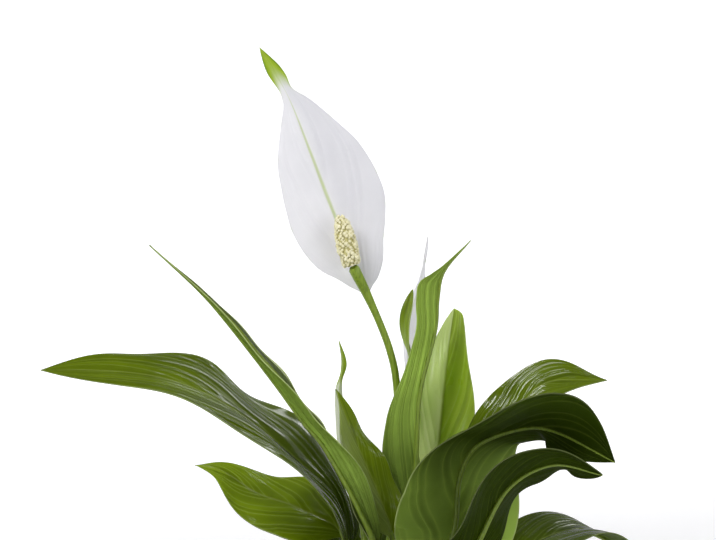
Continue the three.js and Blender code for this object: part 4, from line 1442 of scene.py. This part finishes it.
def swell_at(s):
    """The spadix's thickness along its length, as a share of the thickest: its top is a blunt dome."""
    return np.sin(np.pi * (SWELL_STARTS_AT + (1 - SWELL_STARTS_AT) * s)) ** SWELL_BLUNTNESS


def set_florets(name, start, end, radius):
    """Florets up the spadix, each a golden angle on from the last; also gives the core's radius."""
    draw = np.random.default_rng(len(name))
    start, end = np.array(start, float), np.array(end, float)
    length = np.linalg.norm(end - start)
    axis = turned_to(end - start)
    width = max(SMALLEST_FLORET, FLORET_SHARE * radius)
    core = radius - width
    count = int(2 * math.pi * core * length / width**2)
    placements = []
    for k in range(count):
        s = SPADIX_END_FREE + (1 - 2 * SPADIX_END_FREE) * (k + 0.5) / count
        angle = k * GOLDEN_ANGLE + draw.normal() * SPADIX_UNEVEN / 2
        around = np.array([math.cos(angle), math.sin(angle), 0])
        rise = swell_at(s + SLOPE_STEP) - swell_at(s - SLOPE_STEP)
        slope = rise / (2 * SLOPE_STEP) * core / length
        outwards = axis @ unit(around - np.array([0, 0, slope]))
        at = start + axis @ (around * core * swell_at(s) + np.array([0, 0, s * length]))
        size = width * (FLORET_SIZE_AT_ENDS + FLORET_SWELL * swell_at(s))
        size *= 1 + SPADIX_UNEVEN * draw.normal()
        placements.append((turned_to(outwards) * size * MM, at * MM))
    return copies_of(name, floret, placements), core


print("golden angle in degrees:", round(math.degrees(GOLDEN_ANGLE), 1))

# %% Grow the spadices
CORE_SIDES = 24
# The core shows only in the gaps, so it takes their green and painted shade.
CORE_CROWN = 0.1


def grow_core(name, start, end, core):
    """The spike below the florets: a sphere drawn out along its axis and swollen like the spadix."""
    piece = new_piece(
        name, bpy.ops.mesh.primitive_uv_sphere_add, segments=CORE_SIDES, ring_count=CORE_SIDES, radius=1
    )
    start, end = np.array(start, float), np.array(end, float)
    flat = coordinates(piece)
    s = (flat[:, 2] + 1) / 2
    ring = np.linalg.norm(flat[:, :2], axis=1)
    out = core * swell_at(s) / np.maximum(ring, MERGE_WITHIN) * (ring > MERGE_WITHIN)
    local = np.column_stack([flat[:, 0] * out, flat[:, 1] * out, s * np.linalg.norm(end - start)])
    set_coordinates(piece, MM * (start + local @ turned_to(end - start).T))
    bpy.ops.object.shade_smooth()
    return piece


for bloom in BLOOMS:
    node = f"{bloom['name']}_spadix"
    florets, core = set_florets(f"{node}_florets", **bloom["spadix"])
    crown = coordinates(floret)[:, 2] / CROWN_HEIGHT
    crowns = np.tile(crown, len(florets.data.vertices) // len(crown))
    paint_attribute(florets, "crown", np.clip(crowns, 0, 1))
    spike = grow_core(f"{node}_core", bloom["spadix"]["start"], bloom["spadix"]["end"], core)
    paint_attribute(spike, "crown", CORE_CROWN)
    for piece in (florets, spike):
        piece.data.materials.append(FLORET_CREAM)
        keep(piece, node)
    print(florets.name, len(florets.data.polygons))
bpy.data.objects.remove(floret)

# %% [markdown]
# ## The pot
# A clay pot is thrown on a wheel, so every level of it is a ring. It could be spun from a profile. Here
# a ring of edges is grown level by level, as the potter does: it is extruded, lifted and resized, up
# the outside, over the rim, down the inside and out through the drain hole, where it closes on itself.

# %% Pot
POT_HEIGHT = 108
POT_RIM_RADIUS = 65
POT_FOOT_RADIUS = 44
POT_WALL = 6
POT_FLOOR = 8
RIM_BAND_HEIGHT = 24
RIM_BAND_STEP = 3.5
DRAIN_RADIUS = 9
POT_SIDES = 144
POT_SMOOTH_BELOW = math.radians(40)
POT_EDGE = {"width": 0.7 * MM, "segments": 3, "limit_method": "ANGLE", "angle_limit": math.radians(20)}


def inner_radius_at(z):
    share = (z - POT_FLOOR) / (POT_HEIGHT - POT_FLOOR)
    return POT_FOOT_RADIUS - POT_WALL + share * (POT_RIM_RADIUS - POT_FOOT_RADIUS)


def grow_rings(name, levels, sides):
    """A wall of rings: each level is a radius and a height, in millimetres."""
    radius, height = levels[0]
    piece = new_piece(
        name, bpy.ops.mesh.primitive_circle_add,
        vertices=sides, radius=radius * MM, location=(0, 0, height * MM),
    )
    bpy.ops.object.transform_apply(location=True)
    bpy.ops.object.mode_set(mode="EDIT")
    bpy.ops.mesh.select_all(action="SELECT")
    for next_radius, next_height in levels[1:]:
        lift = (0, 0, (next_height - height) * MM)
        bpy.ops.mesh.extrude_region_move(TRANSFORM_OT_translate={"value": lift})
        grow = next_radius / radius
        bpy.ops.transform.resize(value=(grow, grow, 1), center_override=(0, 0, next_height * MM))
        radius, height = next_radius, next_height
    merge_doubles(outwards=True)
    return piece


band_bottom = POT_HEIGHT - RIM_BAND_HEIGHT
wall_top = POT_RIM_RADIUS - RIM_BAND_STEP - 2
POT_LEVELS = [
    (DRAIN_RADIUS, 0), (POT_FOOT_RADIUS - 1.5, 0), (POT_FOOT_RADIUS, 1.5), (wall_top, band_bottom - 1),
    (wall_top + RIM_BAND_STEP - 0.8, band_bottom), (wall_top + RIM_BAND_STEP, band_bottom + 1.2),
    (POT_RIM_RADIUS, POT_HEIGHT - 2), (POT_RIM_RADIUS - 1.8, POT_HEIGHT),
    (POT_RIM_RADIUS - POT_WALL + 1, POT_HEIGHT), (inner_radius_at(POT_HEIGHT - 1.5), POT_HEIGHT - 1.5),
    (inner_radius_at(POT_FLOOR), POT_FLOOR), (DRAIN_RADIUS, POT_FLOOR), (DRAIN_RADIUS, 0),
]
pot = grow_rings("clay_pot", POT_LEVELS, POT_SIDES)
finish_modifier(pot, "BEVEL", **POT_EDGE)
bpy.ops.object.shade_smooth_by_angle(angle=POT_SMOOTH_BELOW)
pot.data.materials.append(FIRED_CLAY)
keep(pot, "pot")
print("pot faces:", len(pot.data.polygons))

# %% [markdown]
# ## The soil
# The soil is one body that fills the pot, its top a little uneven. It is grown in rings too, inwards
# over the top to its middle, and its top rings are then lifted by the relief. Loose crumbs lie on it:
# one crumb is modelled and strewn many times, each turned and sized by a seeded draw, clear of stalks.

# %% Soil
SOIL_RELIEF = 0.9
SOIL_FINE_RELIEF = 0.35
SOIL_RINGS = 26
SOIL_SIDES = 120
SOIL_MIDDLE = 0.01
SOIL_MERGE_WITHIN = 0.03


def soil_height(x, y):
    """The height of the soil's top with its low lumps, in millimetres."""
    lumps = np.sin(0.31 * x + 1.1) * np.cos(0.27 * y) + 0.6 * np.sin(0.43 * y - 0.2 * x)
    return SOIL_TOP + SOIL_RELIEF * lumps


soil_radius = inner_radius_at(SOIL_TOP) - GAP
inwards = [(soil_radius * (1 - i / SOIL_RINGS), SOIL_TOP) for i in range(1, SOIL_RINGS)]
SOIL_LEVELS = [
    (SOIL_MIDDLE, POT_FLOOR + GAP), (inner_radius_at(POT_FLOOR) - GAP, POT_FLOOR + GAP),
    (soil_radius - 0.4, SOIL_TOP - 1.5), *inwards, (SOIL_MIDDLE, SOIL_TOP),
]
soil = grow_rings("soil_body", SOIL_LEVELS, SOIL_SIDES)
places = coordinates(soil) / MM
x, y, z = places.T
fine = SOIL_FINE_RELIEF * np.sin(1.9 * x + 0.7 * y) * np.sin(1.6 * y - 0.5)
places[:, 2] = np.where(z > SOIL_TOP - 0.1, soil_height(x, y) + fine, z)
set_coordinates(soil, places * MM)
merge_doubles(SOIL_MERGE_WITHIN * MM)
bpy.ops.object.shade_smooth_by_angle(angle=POT_SMOOTH_BELOW)
soil.data.materials.append(PEAT)
keep(soil, "soil")
print("soil faces:", len(soil.data.polygons))

# %% Crumbs
CRUMB_COUNT = 900
CLEAR_OF_STALK = 3.6
CLEAR_OF_POT = 2
CRUMB_SQUASH = (1, 0.8, 0.6)
CRUMB_UNEVEN = (0.75, 1.15)
SMALL_CRUMBS = (0.9, 2.2)
LARGE_CRUMBS = (2.2, 3.8)
SMALL_CRUMB_SHARE = 0.85
CRUMB_LIFT = 0.15
draw = np.random.default_rng(7)


def make_crumb():
    """A lumpy stone shape, one unit wide."""
    piece = new_piece("crumb", bpy.ops.mesh.primitive_ico_sphere_add, subdivisions=1, radius=0.5)
    bpy.ops.object.mode_set(mode="EDIT")
    bpy.ops.mesh.select_all(action="SELECT")
    bpy.ops.transform.resize(value=CRUMB_SQUASH)
    bpy.ops.object.mode_set(mode="OBJECT")
    places = coordinates(piece)
    set_coordinates(piece, places * draw.uniform(*CRUMB_UNEVEN, (len(places), 1)))
    return piece


def strewn(count, roots):
    """Where the crumbs lie: their turn and size, and their place on the soil."""
    found = []
    while len(found) < count:
        radius = (soil_radius - CLEAR_OF_POT) * math.sqrt(draw.uniform())
        angle = draw.uniform(0, 2 * math.pi)
        x, y = radius * math.cos(angle), radius * math.sin(angle)
        if min(math.dist((x, y), root) for root in roots) < CLEAR_OF_STALK:
            continue
        sizes = SMALL_CRUMBS if draw.uniform() < SMALL_CRUMB_SHARE else LARGE_CRUMBS
        size = draw.uniform(*sizes)
        at = np.array([x, y, soil_height(x, y) + CRUMB_LIFT * size])
        found.append((turned_to(draw.normal(size=3)) * size * MM, at * MM))
    return found


crumb = make_crumb()
roots = [piece["root"] for piece in LEAVES + BLOOMS]
crumbs = copies_of("soil_crumbs", crumb, strewn(CRUMB_COUNT, roots))
crumbs.data.materials.append(CRUMBS)
keep(crumbs, "soil")
bpy.data.objects.remove(crumb)
print("crumb faces:", len(crumbs.data.polygons))
